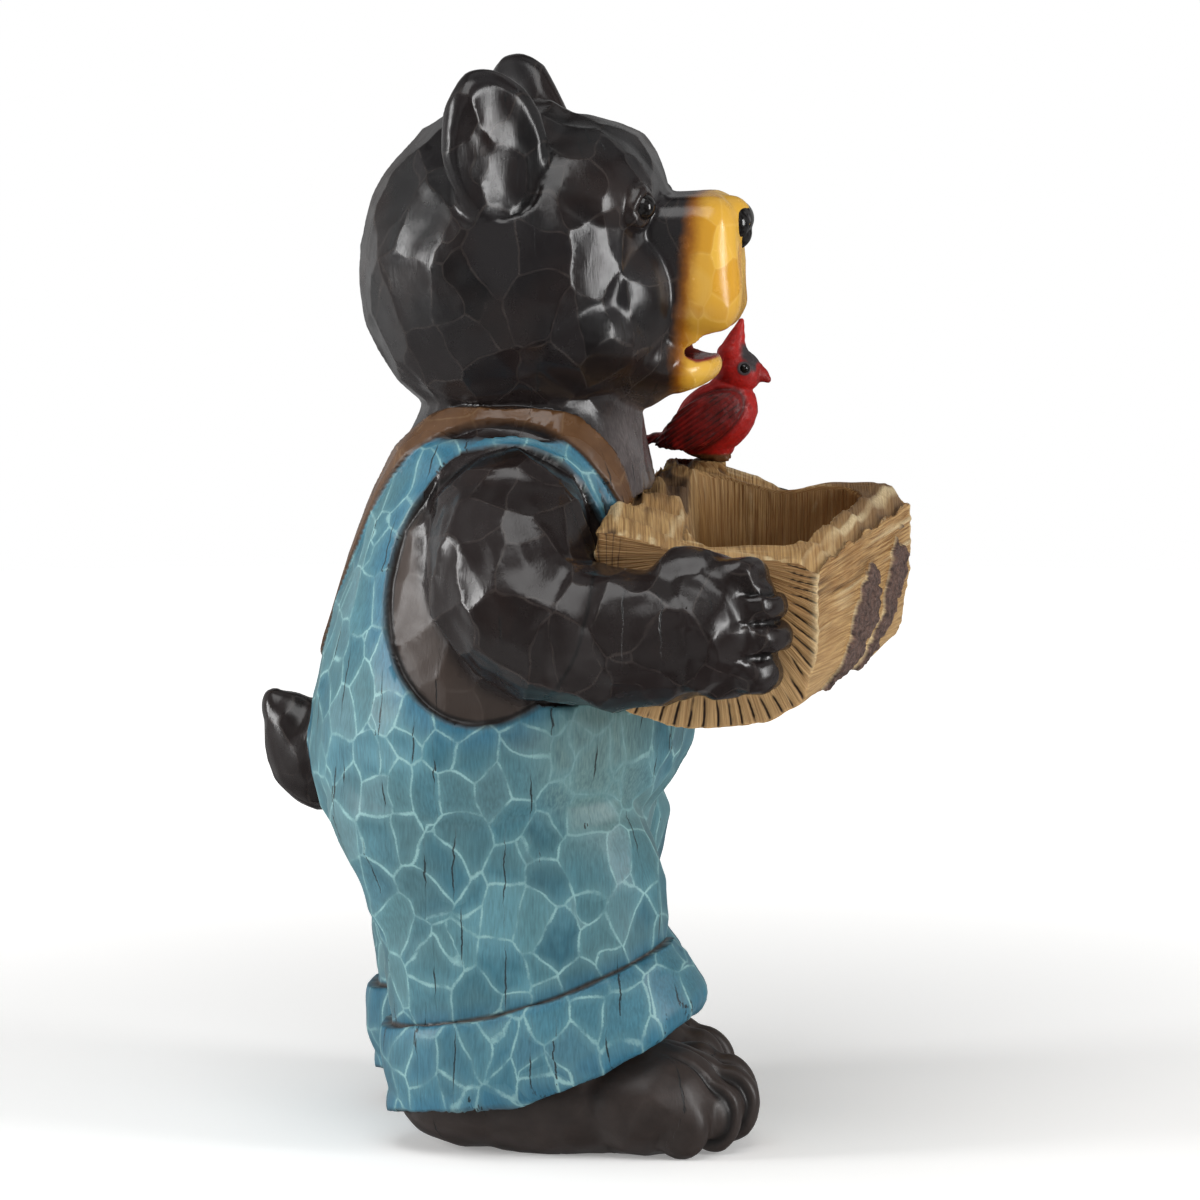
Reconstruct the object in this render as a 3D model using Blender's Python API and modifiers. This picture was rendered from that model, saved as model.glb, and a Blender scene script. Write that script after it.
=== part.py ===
"""Standing bear in overalls that holds a hollowed log as a bird bath, with a cardinal on its rim.

Metres, +Z up. The bear faces -Y, its right hand is on the -X side, and it stands on its soles at z = 0.
"""
import math

import bmesh
import bpy
import numpy as np
from mathutils import Matrix, Vector

# Driving sizes.
BEAR_HEIGHT = 0.603
LOG_LENGTH = 0.262
LOG_WALL = 0.015
LOG_END_WALL = 0.026
LOG_FLOOR = 0.022
SEAT_GAP = 0.0014
PERCH_GAP = 0.0003
CLOTH_STEP = 0.0035
CUFF_STEP = 0.0045
STRAP_STEP = 0.0025
STRAP_WIDTH = 0.021
CHIP_CELL = 0.026
BIRD_HEIGHT = 0.082

# The figure is free-form: one share is a 603rd part of its own height.
SHARE = BEAR_HEIGHT / 603.0
BIRD_SHARE = BIRD_HEIGHT / 82.0

# Moves the whole forward or back so that the origin lies under the middle of its outline.
CENTRING = 3.5 * SHARE

# How finely each form is worked before it is brought down to its final triangles.
BEAR_GRAIN = 0.0030
LOG_GRAIN = 0.0028
BIRD_GRAIN = 0.0013
BEAR_TRIANGLES = 4800
LOG_TRIANGLES = 1750
BIRD_TRIANGLES = 1100


def clear_scene():
    for item in list(bpy.data.objects):
        bpy.data.objects.remove(item, do_unlink=True)
    for group in list(bpy.data.collections):
        bpy.data.collections.remove(group)


def shares(*values):
    return tuple(SHARE * value for value in values)


def smooth_step(value, low, high):
    t = np.clip((value - low) / (high - low), 0.0, 1.0)
    return t * t * (3.0 - 2.0 * t)


def new_object(name, bm):
    mesh = bpy.data.meshes.new(name)
    bm.to_mesh(mesh)
    bm.free()
    item = bpy.data.objects.new(name, mesh)
    bpy.context.scene.collection.objects.link(item)
    return item


def ball(centre, radii, turn=(0.0, 0.0, 0.0), detail=4):
    """Ellipsoid with its centre and radii in metres and its turn in degrees."""
    bm = bmesh.new()
    bmesh.ops.create_icosphere(bm, subdivisions=detail, radius=1.0)
    place = Matrix.Translation(Vector(centre))
    for axis, angle in zip("ZYX", reversed(turn)):
        place = place @ Matrix.Rotation(math.radians(angle), 4, axis)
    place = place @ Matrix.Diagonal((*radii, 1.0))
    bmesh.ops.transform(bm, matrix=place, verts=bm.verts)
    return new_object("ball", bm)


def block(centre, halves, rounding, turn=(0.0, 0.0, 0.0)):
    """Box with rounded edges."""
    bm = bmesh.new()
    bmesh.ops.create_cube(bm, size=2.0)
    bmesh.ops.scale(bm, vec=halves, verts=bm.verts)
    bmesh.ops.bevel(bm, geom=bm.edges[:], offset=rounding, segments=5, profile=0.5, affect="EDGES")
    place = Matrix.Translation(Vector(centre))
    for axis, angle in zip("ZYX", reversed(turn)):
        place = place @ Matrix.Rotation(math.radians(angle), 4, axis)
    bmesh.ops.transform(bm, matrix=place, verts=bm.verts)
    return new_object("block", bm)


def spline_points(points, steps):
    """Points on a smooth run through the given rows, ends included."""
    rows = [np.array(row, dtype=float) for row in points]
    rows = [2 * rows[0] - rows[1]] + rows + [2 * rows[-1] - rows[-2]]
    found = []
    for k in range(1, len(rows) - 2):
        a, b, c, d = rows[k - 1:k + 3]
        for step in range(steps):
            t = step / steps
            found.append(0.5 * (2 * b + (c - a) * t + (2 * a - 5 * b + 4 * c - d) * t ** 2
                                + (3 * b - a - 3 * c + d) * t ** 3))
    found.append(rows[-2])
    return found


def limb(stations, steps=6):
    """Tapered round limb through (x, y, z, radius) stations, with rounded ends."""
    run = spline_points(stations, steps)
    curve = bpy.data.curves.new("limb", "CURVE")
    curve.dimensions = "3D"
    curve.bevel_depth = 1.0
    curve.bevel_resolution = 6
    curve.use_fill_caps = True
    line = curve.splines.new("POLY")
    line.points.add(len(run) - 1)
    for point, row in zip(line.points, run):
        point.co = (row[0], row[1], row[2], 1.0)
        point.radius = row[3]
    item = bpy.data.objects.new("limb", curve)
    bpy.context.scene.collection.objects.link(item)
    ends = [ball(run[k][:3], (run[k][3],) * 3) for k in (0, -1)]
    return [as_mesh(item)] + ends


def ring(centre, rx, ry, slope=0.0, sag=0.0, power=2.0, count=48):
    """Level oval, or one tipped by a slope along Y whose two sides sag."""
    points = []
    for k in range(count):
        angle = 2.0 * math.pi * k / count
        c, s = math.cos(angle), math.sin(angle)
        x = rx * math.copysign(abs(c) ** (2.0 / power), c)
        y = ry * math.copysign(abs(s) ** (2.0 / power), s)
        points.append((centre[0] + x, centre[1] + y, centre[2] + slope * y - sag * c * c))
    return points


def loft(rings):
    """Closed skin through rings that have the same number of points."""
    bm = bmesh.new()
    rows = [[bm.verts.new(point) for point in row] for row in rings]
    count = len(rows[0])
    for low, high in zip(rows, rows[1:]):
        for k in range(count):
            n = (k + 1) % count
            bm.faces.new((low[k], low[n], high[n], high[k]))
    bm.faces.new(tuple(reversed(rows[0])))
    bm.faces.new(tuple(rows[-1]))
    bmesh.ops.recalc_face_normals(bm, faces=bm.faces)
    return new_object("loft", bm)


def as_mesh(item):
    """The object as it stands with its modifiers, as a plain mesh object."""
    bpy.context.view_layer.update()
    graph = bpy.context.evaluated_depsgraph_get()
    mesh = bpy.data.meshes.new_from_object(item.evaluated_get(graph))
    made = bpy.data.objects.new(item.name, mesh)
    made.matrix_world = item.matrix_world.copy()
    bpy.context.scene.collection.objects.link(made)
    bpy.data.objects.remove(item, do_unlink=True)
    return made


def joined(items):
    """Several closed forms as one object."""
    bm = bmesh.new()
    for item in items:
        bm.from_mesh(item.data)
        bpy.data.objects.remove(item, do_unlink=True)
    return new_object("joined", bm)


def skinned(item, grain, rounds=0, factor=0.5):
    """One even skin over joined forms, softened where they meet."""
    remesh = item.modifiers.new("skin", "REMESH")
    remesh.mode = "VOXEL"
    remesh.voxel_size = grain
    if rounds:
        soften = item.modifiers.new("soften", "SMOOTH")
        soften.factor = factor
        soften.iterations = rounds
    return as_mesh(item)


def cut(item, cutter, operation="DIFFERENCE"):
    """Boolean of two closed forms; the cutter is used up."""
    boolean = item.modifiers.new("cut", "BOOLEAN")
    boolean.operation = operation
    boolean.solver = "EXACT"
    boolean.object = cutter
    made = as_mesh(item)
    bpy.data.objects.remove(cutter, do_unlink=True)
    return made


def welded(item):
    """Clean triangles of a form, with points closer than a twentieth of a millimetre made one."""
    bm = bmesh.new()
    bm.from_mesh(item.data)
    bmesh.ops.remove_doubles(bm, verts=bm.verts, dist=0.00005)
    bmesh.ops.triangulate(bm, faces=bm.faces)
    bmesh.ops.recalc_face_normals(bm, faces=bm.faces)
    return bm


def closed(item):
    """True where every edge lies between two faces once the form is welded."""
    bm = welded(item)
    whole = all(len(edge.link_faces) == 2 for edge in bm.edges)
    bm.free()
    return whole


def main_body(item):
    """Drops crumbs that a cut leaves loose and keeps the largest body."""
    bm = bmesh.new()
    bm.from_mesh(item.data)
    waiting = set(bm.faces)
    bodies = []
    while waiting:
        body = {waiting.pop()}
        edge = list(body)
        while edge:
            reached = {other for face in edge for side in face.edges for other in side.link_faces} - body
            body |= reached
            edge = list(reached)
        waiting -= body
        bodies.append(body)
    bodies.sort(key=len)
    crumbs = [face for body in bodies[:-1] for face in body]
    bmesh.ops.delete(bm, geom=crumbs, context="FACES")
    bm.to_mesh(item.data)
    bm.free()
    return item


def thinned(item, triangles):
    """The same form on fewer triangles, flat chips kept flat."""
    bm = bmesh.new()
    bm.from_mesh(item.data)
    bmesh.ops.triangulate(bm, faces=bm.faces)
    count = len(bm.faces)
    bm.to_mesh(item.data)
    bm.free()
    decimate = item.modifiers.new("thin", "DECIMATE")
    decimate.ratio = min(1.0, triangles / count)
    decimate.use_collapse_triangulate = True
    return as_mesh(item)


def copied(item):
    made = bpy.data.objects.new(item.name, item.data.copy())
    bpy.context.scene.collection.objects.link(made)
    return made


def read_points(item):
    mesh = item.data
    points = np.empty(3 * len(mesh.vertices))
    normals = np.empty(3 * len(mesh.vertices))
    mesh.vertices.foreach_get("co", points)
    mesh.vertices.foreach_get("normal", normals)
    return points.reshape(-1, 3), normals.reshape(-1, 3)


def push_out(item, distance):
    """Moves every point along its own normal."""
    points, normals = read_points(item)
    moved = points + normals * np.asarray(distance).reshape(-1, 1)
    item.data.vertices.foreach_set("co", moved.ravel())
    item.data.update()


def carved(item, cell, upright, depth, mask=None):
    """Chip-carved surface: flat-bottomed cells with ridges between them."""
    if mask is None:
        mask = np.ones(len(item.data.vertices))
    item.data.attributes.new("carve", "FLOAT", "POINT").data.foreach_set("value", mask)
    tree = bpy.data.node_groups.new("chips", "GeometryNodeTree")
    tree.interface.new_socket("Geometry", in_out="INPUT", socket_type="NodeSocketGeometry")
    tree.interface.new_socket("Geometry", in_out="OUTPUT", socket_type="NodeSocketGeometry")
    group_in = tree.nodes.new("NodeGroupInput")
    group_out = tree.nodes.new("NodeGroupOutput")
    place = tree.nodes.new("GeometryNodeInputPosition")
    normal = tree.nodes.new("GeometryNodeInputNormal")
    stretch = tree.nodes.new("ShaderNodeVectorMath")
    stretch.operation = "MULTIPLY"
    stretch.inputs[1].default_value = (1.0 / cell, 1.0 / cell, upright / cell)
    cells = tree.nodes.new("ShaderNodeTexVoronoi")
    cells.inputs["Scale"].default_value = 1.0
    cells.inputs["Randomness"].default_value = 0.85
    square = tree.nodes.new("ShaderNodeMath")
    square.operation = "POWER"
    square.inputs[1].default_value = 2.0
    amount = tree.nodes.new("ShaderNodeMath")
    amount.operation = "MULTIPLY_ADD"
    amount.inputs[1].default_value = depth
    amount.inputs[2].default_value = -0.25 * depth
    masked = tree.nodes.new("GeometryNodeInputNamedAttribute")
    masked.data_type = "FLOAT"
    masked.inputs["Name"].default_value = "carve"
    weighed = tree.nodes.new("ShaderNodeMath")
    weighed.operation = "MULTIPLY"
    scale = tree.nodes.new("ShaderNodeVectorMath")
    scale.operation = "SCALE"
    move = tree.nodes.new("GeometryNodeSetPosition")
    tree.links.new(place.outputs["Position"], stretch.inputs[0])
    tree.links.new(stretch.outputs[0], cells.inputs["Vector"])
    tree.links.new(cells.outputs["Distance"], square.inputs[0])
    tree.links.new(square.outputs[0], amount.inputs[0])
    tree.links.new(amount.outputs[0], weighed.inputs[0])
    tree.links.new(masked.outputs["Attribute"], weighed.inputs[1])
    tree.links.new(normal.outputs[0], scale.inputs[0])
    tree.links.new(weighed.outputs[0], scale.inputs["Scale"])
    tree.links.new(group_in.outputs[0], move.inputs["Geometry"])
    tree.links.new(scale.outputs[0], move.inputs["Offset"])
    tree.links.new(move.outputs[0], group_out.inputs[0])
    chips = item.modifiers.new("chips", "NODES")
    chips.node_group = tree
    made = as_mesh(item)
    bpy.data.node_groups.remove(tree)
    return made


def path_distance(points, path):
    """Shortest distance from each point to a run of straight segments."""
    best = np.full(len(points), 1e9)
    for a, b in zip(path, path[1:]):
        a = np.array(a)
        along = np.array(b) - a
        t = np.clip((points - a) @ along / (along @ along), 0.0, 1.0)
        best = np.minimum(best, np.linalg.norm(points - a - t[:, None] * along, axis=1))
    return best


# The log: its section runs from the bear's right hand (0) to its left hand (1).
LOG_BOTTOM = 248.0 * SHARE


def log_share(x):
    return np.clip(np.asarray(x) / LOG_LENGTH + 0.5, 0.0, 1.0)


def log_middle(x):
    """Depth of the log's centre line: the log lies a little askew across the chest."""
    return (-88.0 - 25.0 * log_share(x)) * SHARE


def log_half_depth(x):
    return (61.0 + 8.0 * log_share(x)) * SHARE


def log_rim(x, y):
    """Height of the torn rim: it rises to the back and to the left hand, and has a notch."""
    s = log_share(x)
    back = (y - log_middle(x)) / log_half_depth(x)
    height = 345.0 + 10.0 * s + (16.0 - 4.0 * s) * smooth_step(back, 0.05, 0.92)
    height = height - 8.0 * smooth_step(-s, -0.07, 0.0) * smooth_step(back, 0.2, 0.8)
    height = height - (6.0 + 6.0 * s) * smooth_step(-back, 0.8, 1.0)
    height = height - 3.0 * smooth_step(-s, -0.3, 0.0) * smooth_step(-back, -0.7, -0.2)
    height = height + 2.0 * np.sin(31.0 * s + 2.0 * back) + 1.4 * np.sin(67.0 * s - 5.0 * back)
    height = height - 7.0 * np.exp(-((s - 0.97) / 0.06) ** 2 - ((back + 0.05) / 0.18) ** 2)
    return height * SHARE


def log_section(x, count, power=3.3):
    """Closed section of the solid log at one place along it."""
    middle = float(log_middle(x))
    half = float(log_half_depth(x))
    shoulder = 316.0 * SHARE
    points = []
    for k in range(count + 1):
        angle = math.pi * k / count
        c, s = math.cos(angle), math.sin(angle)
        wave = 1.0 + 0.012 * math.sin(7.0 * angle + 25.0 * x) + 0.009 * math.sin(13.0 * angle - 40.0 * x)
        y = middle - half * wave * math.copysign(abs(c) ** (2.0 / power), c)
        z = shoulder - (shoulder - LOG_BOTTOM) * wave * abs(s) ** (2.0 / power)
        points.append((x, y, z))
    for k in range(1, 5):
        y = middle + half
        points.append((x, y, shoulder + (float(log_rim(x, y)) - shoulder) * k / 5.0))
    across = count // 2
    for k in range(across + 1):
        y = middle + half * (1.0 - 2.0 * k / across)
        points.append((x, y, float(log_rim(x, y))))
    for k in range(4, 0, -1):
        y = middle - half
        points.append((x, y, shoulder + (float(log_rim(x, y)) - shoulder) * k / 5.0))
    return points


def solid_log(stations=45, count=56):
    places = np.linspace(-0.5, 0.5, stations) * LOG_LENGTH
    return loft([log_section(float(x), count) for x in places])


def basin_back(x):
    """The hollow's back edge: a torn shelf lies behind it, wider at the right hand."""
    return (-70.0 + 20.0 * (log_share(x) - 0.5)) * SHARE


def basin():
    """The hollow: rings that follow the log's front wall and its shelf, sloped back where the shelf begins."""
    floor = LOG_BOTTOM + LOG_FLOOR
    levels = (
        (0.0, 0.50, 0.0), (1.5, 0.68, 0.0), (5.0, 0.80, 0.0), (12.0, 0.89, 0.0), (26.0, 0.95, 0.0),
        (55.0, 0.985, 0.0), (67.0, 1.0, 1.0), (79.0, 1.0, 6.0), (92.0, 1.01, 14.0), (150.0, 1.02, 40.0))
    rings = []
    for rise, spread, flare in levels:
        row = []
        for x, y, z in ring((0.0, 0.0, floor + rise * SHARE), 1.0, 1.0, power=4.6, count=64):
            place = x * spread * (0.5 * LOG_LENGTH - LOG_END_WALL)
            front = float(log_middle(place) - log_half_depth(place)) + LOG_WALL
            back = float(basin_back(place) + flare * SHARE * (1.0 - 0.8 * log_share(place)))
            row.append((place, 0.5 * (front + back) + 0.5 * y * spread * (back - front), z))
        rings.append(row)
    return loft(rings)


# The perch: a snapped twig on the rim of the end at the bear's left hand.
PERCH_X = 0.5 * LOG_LENGTH - 0.5 * LOG_END_WALL
PERCH_Y = float(log_middle(PERCH_X) + 0.66 * log_half_depth(PERCH_X))
PERCH_TOP = 367.0 * SHARE


def build_log():
    """Hollowed log with its perch, and the same form grown by the gap that its seat in the bear leaves."""
    log = solid_log()
    twig = loft([ring((PERCH_X, PERCH_Y, z * SHARE), r * SHARE, r * SHARE, count=24)
                 for z, r in ((330.0, 13.0), (350.0, 12.5), (358.0, 10.5), (367.0, 10.0))])
    log = cut(log, basin())
    log = cut(log, twig, "UNION")
    log = skinned(log, LOG_GRAIN, 2)
    points, normals = read_points(log)
    x, y, z = points.T
    middle = log_middle(x)
    half = log_half_depth(x)
    # Split grain: grooves along the front and underside, radial ones on the two cut ends.
    angle = np.arctan2(z - 325.0 * SHARE, y - middle)
    outside = smooth_step(np.abs(y - middle) / half, 0.86, 0.94)
    outside = np.maximum(outside, smooth_step(-z, -(LOG_BOTTOM + 12.0 * SHARE), -LOG_BOTTOM))
    end = smooth_step(np.abs(normals[:, 0]), 0.6, 0.9)
    grain = np.sin(34.0 * angle + 9.0 * np.sin(14.0 * x)) * outside * (1.0 - end)
    spokes = np.sin(36.0 * angle) * end * smooth_step(np.hypot(y - middle, z - 325.0 * SHARE) / half, 0.55, 0.9)
    # Two scabs of bark on the front face.
    across, up = x / (0.5 * LOG_LENGTH), z / SHARE
    scab_a = 1.0 - np.hypot((across - 0.02) / 0.21, (up - 292.0) / 33.0)
    scab_b = 1.0 - np.hypot((across - 0.55) / 0.20, (up - 300.0) / 27.0)
    bark = smooth_step(np.maximum(scab_a, scab_b), 0.0, 0.25) * smooth_step(middle - y, 0.6 * half, 0.8 * half)
    push_out(log, 0.0007 * grain + 0.0007 * spokes + 0.0034 * bark)
    seat = copied(log)
    push_out(seat, SEAT_GAP)
    return thinned(log, LOG_TRIANGLES), thinned(seat, LOG_TRIANGLES)


# Torso of the bear: height, back, front and half-width.
TORSO = (
    (138, 96, -30, 60), (150, 112, -36, 84), (166, 126, -40, 100), (188, 138, -44, 112), (204, 143, -56, 118),
    (222, 145, -65, 122), (245, 142, -68, 123), (275, 135, -66, 121), (310, 124, -59, 116), (340, 114, -52, 110),
    (365, 105, -46, 103), (385, 97, -42, 93), (398, 89, -40, 82), (412, 82, -38, 71), (430, 78, -34, 61))

# One leg: height, back, front, distance of its middle from the centre plane and half-width.
LEG = (
    (212, 128, -34, 54, 56), (188, 127, -40, 57, 55), (172, 121, -49, 59, 54), (150, 109, -55, 60, 52),
    (125, 98, -56, 61, 50), (100, 94, -54, 61, 50), (70, 90, -50, 61, 49), (45, 84, -46, 61, 46))
LEG_MIDDLE = 61.0
LEFT_LEG_BACK = 24.0

# Toes of one foot: distance from the centre plane, depth, height of the middle and radius.
TOES = ((38, -91, 26, 16.5), (58, -94, 25, 16), (77, -87, 22, 15), (94, -71, 19, 14))

# Folded-up trouser hem: edge heights as depth runs from back to front.
HEM_TOP = ((126, 61), (103, 65), (72, 72), (29, 81), (-2, 91), (-39, 107), (-61, 119), (-90, 130))
HEM_BOTTOM = ((118, 13), (93, 19), (72, 26), (47, 31), (16, 38), (-9, 47), (-40, 63), (-62, 72), (-80, 87), (-96, 96))


def torso():
    return loft([ring(shares(0, 0.5 * (back + front), z), SHARE * half, 0.5 * SHARE * (back - front), power=2.2)
                 for z, back, front, half in TORSO])


def leg_shift(side, z):
    """The left leg stands a little behind the right one."""
    return float(LEFT_LEG_BACK * smooth_step(-z, -190.0, -110.0)) if side > 0 else 0.0


def leg(side):
    rings = []
    for z, back, front, middle, half in LEG:
        shift = leg_shift(side, z)
        rings.append(ring(shares(side * middle, 0.5 * (back + front) + shift, z), SHARE * half,
                          0.5 * SHARE * (back - front), power=2.3))
    return loft(rings)


def cuff(side):
    shift = leg_shift(side, 0.0)
    rows = (
        (20, 92, 50, 73, -0.33, 9), (18, 86, 52, 76, -0.33, 9), (12, 70, 54, 79, -0.36, 10),
        (6, 58, 55, 80, -0.39, 11), (5, 54, 54, 79, -0.39, 11), (5, 53, 42, 64, -0.39, 6))
    return loft([ring(shares(side * LEG_MIDDLE, y + shift, z), SHARE * rx, SHARE * ry, slope, SHARE * sag, 2.3)
                 for y, z, rx, ry, slope, sag in rows])


def foot(side):
    shift = leg_shift(side, 0.0)
    parts = [
        ball(shares(side * 62, 48 + shift, 23), shares(40, 42, 24), (4, 0, 0)),
        ball(shares(side * 64, 0 + shift, 27), shares(43, 72, 33)),
        ball(shares(side * 67, -47 + shift, 30), shares(45, 47, 33))]
    for middle, y, z, r in TOES:
        parts.append(ball(shares(side * middle, y + shift, z), shares(r * 0.82, r * 1.15, r * 1.42)))
        parts.append(ball(shares(side * middle, y + 20 + shift, z + 12), shares(r * 0.85, r * 1.3, r * 1.1)))
    return parts


def palm_x(side):
    """Middle of a palm, just outside the end of the log."""
    return side * (0.5 * LOG_LENGTH + 20.0 * SHARE)


def arm(side):
    """Upper arm, elbow, forearm and a hand whose fingers lie on the end of the log."""
    reach = palm_x(side)
    forward = float(log_middle(reach)) + 88.0 * SHARE
    wrist = float(log_middle(side)) / SHARE
    parts = limb([
        (*shares(side * 94, 23, 350), SHARE * 44), (*shares(side * 113, 21, 334), SHARE * 47),
        (*shares(side * 129, 9, 311), SHARE * 45.5), (*shares(side * 137, -16, 300), SHARE * 41),
        (reach * 0.99, SHARE * -52 + 0.5 * forward, SHARE * 299, SHARE * 37.5),
        (reach, SHARE * -84 + forward, SHARE * 303, SHARE * 35)])
    parts.append(ball((reach, SHARE * -97 + forward, SHARE * 305), shares(25, 27, 40)))
    for y, z, length in ((-111, 334, 17), (-121, 319, 18), (-123, 300, 18), (-120, 281, 17)):
        tip = SHARE * (y - 1) + forward
        parts += limb([
            (reach + side * SHARE * 4, tip + SHARE * length * 1.4, SHARE * (z * 0.8 + 61), SHARE * 12),
            (reach + side * SHARE * 5, tip + SHARE * 4, SHARE * z, SHARE * 11.5),
            (reach - side * SHARE * 8, tip - SHARE * 2, SHARE * (z - 1), SHARE * 9.5)], 4)
    parts.append(ball((reach, SHARE * -74 + forward, SHARE * 333), shares(15, 21, 13), (-25, 0, 0)))
    return parts


def head():
    parts = [
        ball(shares(0, 32, 488), shares(99, 86, 94)),
        ball(shares(0, 28, 438), shares(80, 68, 42)),
        ball(shares(0, 0, 528), shares(80, 54, 46)),
        ball(shares(0, 0, 456), shares(86, 60, 46)),
        ball(shares(0, -28, 474), shares(66, 38, 48)),
        ball(shares(0, -30, 440), shares(50, 40, 30))]
    for side in (-1, 1):
        parts.append(ball(shares(side * 48, -40, 525), shares(11, 9, 13)))
    return parts


def muzzle():
    return [
        block(shares(0, -52, 490), shares(37, 44, 39), SHARE * 17, (-3, 0, 0)),
        ball(shares(0, -42, 461), shares(37, 46, 24), (14, 0, 0)),
        ball(shares(0, -88, 516), shares(19, 14, 13)),
        ball(shares(0, -60, 431), shares(31, 25, 13), (-12, 0, 0))]


def mouth():
    return block(shares(0, -72, 446), shares(24, 34, 7.5), SHARE * 7, (-8, 0, 0))


def eyes():
    return [ball(shares(side * 51, -46, 525), shares(8.5, 8.5, 8.5)) for side in (-1, 1)]


# Ear: its dish faces outward and forward.
EAR_TURN = 52.0


def ear(side):
    """Rounded blade with a broad shallow dish in its outward face, on a root."""
    lean = (-6, side * 8, side * EAR_TURN)
    turn = math.radians(side * EAR_TURN)
    outward = Vector((math.sin(turn), -math.cos(turn), 0.0))
    blade = ball(shares(side * 79, 34, 558), shares(32, 17, 45), lean)
    scoop = ball(Vector(shares(side * 79, 34, 555)) + outward * SHARE * 67, shares(60, 60, 80), lean)
    return [cut(blade, scoop), ball(shares(side * 66, 42, 526), shares(22, 18, 28))]


# Tail: middle, radii and lean of its three swellings, from root to tip.
TAIL = (((0, 141, 210), (25, 30, 32), -10), ((0, 156, 217), (20, 18, 28), -12), ((0, 165, 230), (12, 9, 16), -22))


def tail():
    return [ball(shares(*middle), shares(*radii), (lean, 0, 0)) for middle, radii, lean in TAIL]


def tail_gap(points):
    """How far outside the tail a point is, in shares, negative inside."""
    gap = np.full(len(points), 1e9)
    for middle, radii, lean in TAIL:
        own = (points / SHARE - np.array(middle)) @ np.array(Matrix.Rotation(math.radians(lean), 3, "X"))
        gap = np.minimum(gap, (np.linalg.norm(own / np.array(radii), axis=1) - 1.0) * min(radii))
    return gap


def strap_path(side):
    """Strap from the middle of the back over the shoulder to the bib."""
    rows = ((2, 135, 276), (14, 126, 305), (30, 114, 338), (44, 101, 368), (56, 82, 392), (63, 52, 405),
            (66, 25, 407), (68, -5, 400), (68, -28, 382), (66, -42, 362), (62, -50, 340))
    return [shares(side * x, y, z) for x, y, z in rows]


def interpolated(value, rows):
    xs = [row[0] for row in reversed(rows)]
    zs = [row[1] for row in reversed(rows)]
    return np.interp(value, xs, zs)


def garment_fields(points):
    """Signed distances in shares, positive inside: overalls, straps and turned-up hems."""
    x, y, z = (points / SHARE).T
    side = np.sign(x)
    near = np.abs(x)
    shift = np.where(x > 0, LEFT_LEG_BACK, 0.0)
    hem_top = interpolated(y - shift, HEM_TOP)
    hem_bottom = interpolated(y - shift, HEM_BOTTOM)
    armhole = 60.0 * (np.hypot((y - 30.0 + 0.12 * (z - 320.0)) / 60.0, (z - 320.0) / 74.0) - 1.0)
    armhole = np.where(near > 62.0, armhole, 60.0)
    line_back = 276.0 + 2.05 * near
    line_front = np.where(near < 58.0, 352.0, 352.0 + 3.0 * (near - 58.0))
    front = smooth_step(-y, -35.0, 5.0)
    line = np.minimum(line_back * (1.0 - front) + line_front * front, 398.0)
    overalls = np.minimum(np.minimum(armhole, 0.5 * (line - z)), z - hem_bottom)
    overalls = np.minimum(overalls, tail_gap(points) - 1.5)
    straps = 0.5 * STRAP_WIDTH / SHARE - np.minimum(
        path_distance(points, strap_path(-1)), path_distance(points, strap_path(1))) / SHARE
    hems = np.where(z < 135.0, np.minimum(hem_top - z, z - hem_bottom), -50.0)
    return overalls, straps, hems


def build_bear(seat):
    """The figure, with a seat for the log in its chest and hands."""
    parts = [torso()]
    for side in (-1, 1):
        parts += [leg(side), cuff(side)] + foot(side) + arm(side) + ear(side)
    parts += head() + muzzle() + tail()
    bear = skinned(joined(parts), BEAR_GRAIN, 1)
    bear = cut(bear, mouth())
    bear = skinned(joined([bear] + eyes()), BEAR_GRAIN, 5)
    points, normals = read_points(bear)
    overalls, straps, hems = garment_fields(points)
    # Arms, hands and head stay fur even where the garment's outline passes through them.
    x, y, z = (points / SHARE).T
    arm_line = [np.array(row) for row in (
        shares(94, 23, 350), shares(113, 21, 334), shares(129, 9, 311), shares(137, -16, 300), shares(150, -110, 304))]
    mirrored = np.column_stack((np.abs(points[:, 0]), points[:, 1], points[:, 2]))
    in_arm = smooth_step(-path_distance(mirrored, arm_line) / SHARE, -53.0, -49.0)
    cloth = smooth_step(overalls, -0.4, 1.6) * (1.0 - in_arm)
    band = smooth_step(straps, -0.4, 1.2) * (z < 425.0) * (1.0 - in_arm)
    hem = smooth_step(hems, -0.4, 1.6)
    relief = CLOTH_STEP * np.maximum(cloth, band) + STRAP_STEP * band + CUFF_STEP * hem
    push_out(bear, relief)
    # The carver's chips are shallower on the toes, the fingers and the face.
    small = smooth_step(-z, -70.0, -50.0) * (1.0 - hem)
    small = np.maximum(small, smooth_step(-y, 70.0, 80.0) * smooth_step(np.abs(x), 120.0, 130.0))
    small = np.maximum(small, smooth_step(-y, 40.0, 60.0) * (z > 410.0))
    bear = carved(bear, CHIP_CELL, 0.75, 0.0042, 1.0 - 0.75 * small)
    bear = thinned(bear, BEAR_TRIANGLES)
    bear = cut(bear, solid_log(8, 20))
    ground = block((0.0, 0.0, -0.5), (1.0, 1.0, 0.5), 0.001)
    bear = main_body(cut(bear, ground))
    # A cut that grazes an edge can leave a pinhole, so the seat is tried a hair larger until the form is closed.
    for spare in (0.0, 0.04, 0.09, 0.15, 0.22):
        larger = copied(seat)
        push_out(larger, SEAT_GAP * spare)
        trial = main_body(cut(copied(bear), larger))
        if closed(trial):
            break
        bpy.data.objects.remove(trial, do_unlink=True)
    bpy.data.objects.remove(bear, do_unlink=True)
    bpy.data.objects.remove(seat, do_unlink=True)
    return trial


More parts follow.
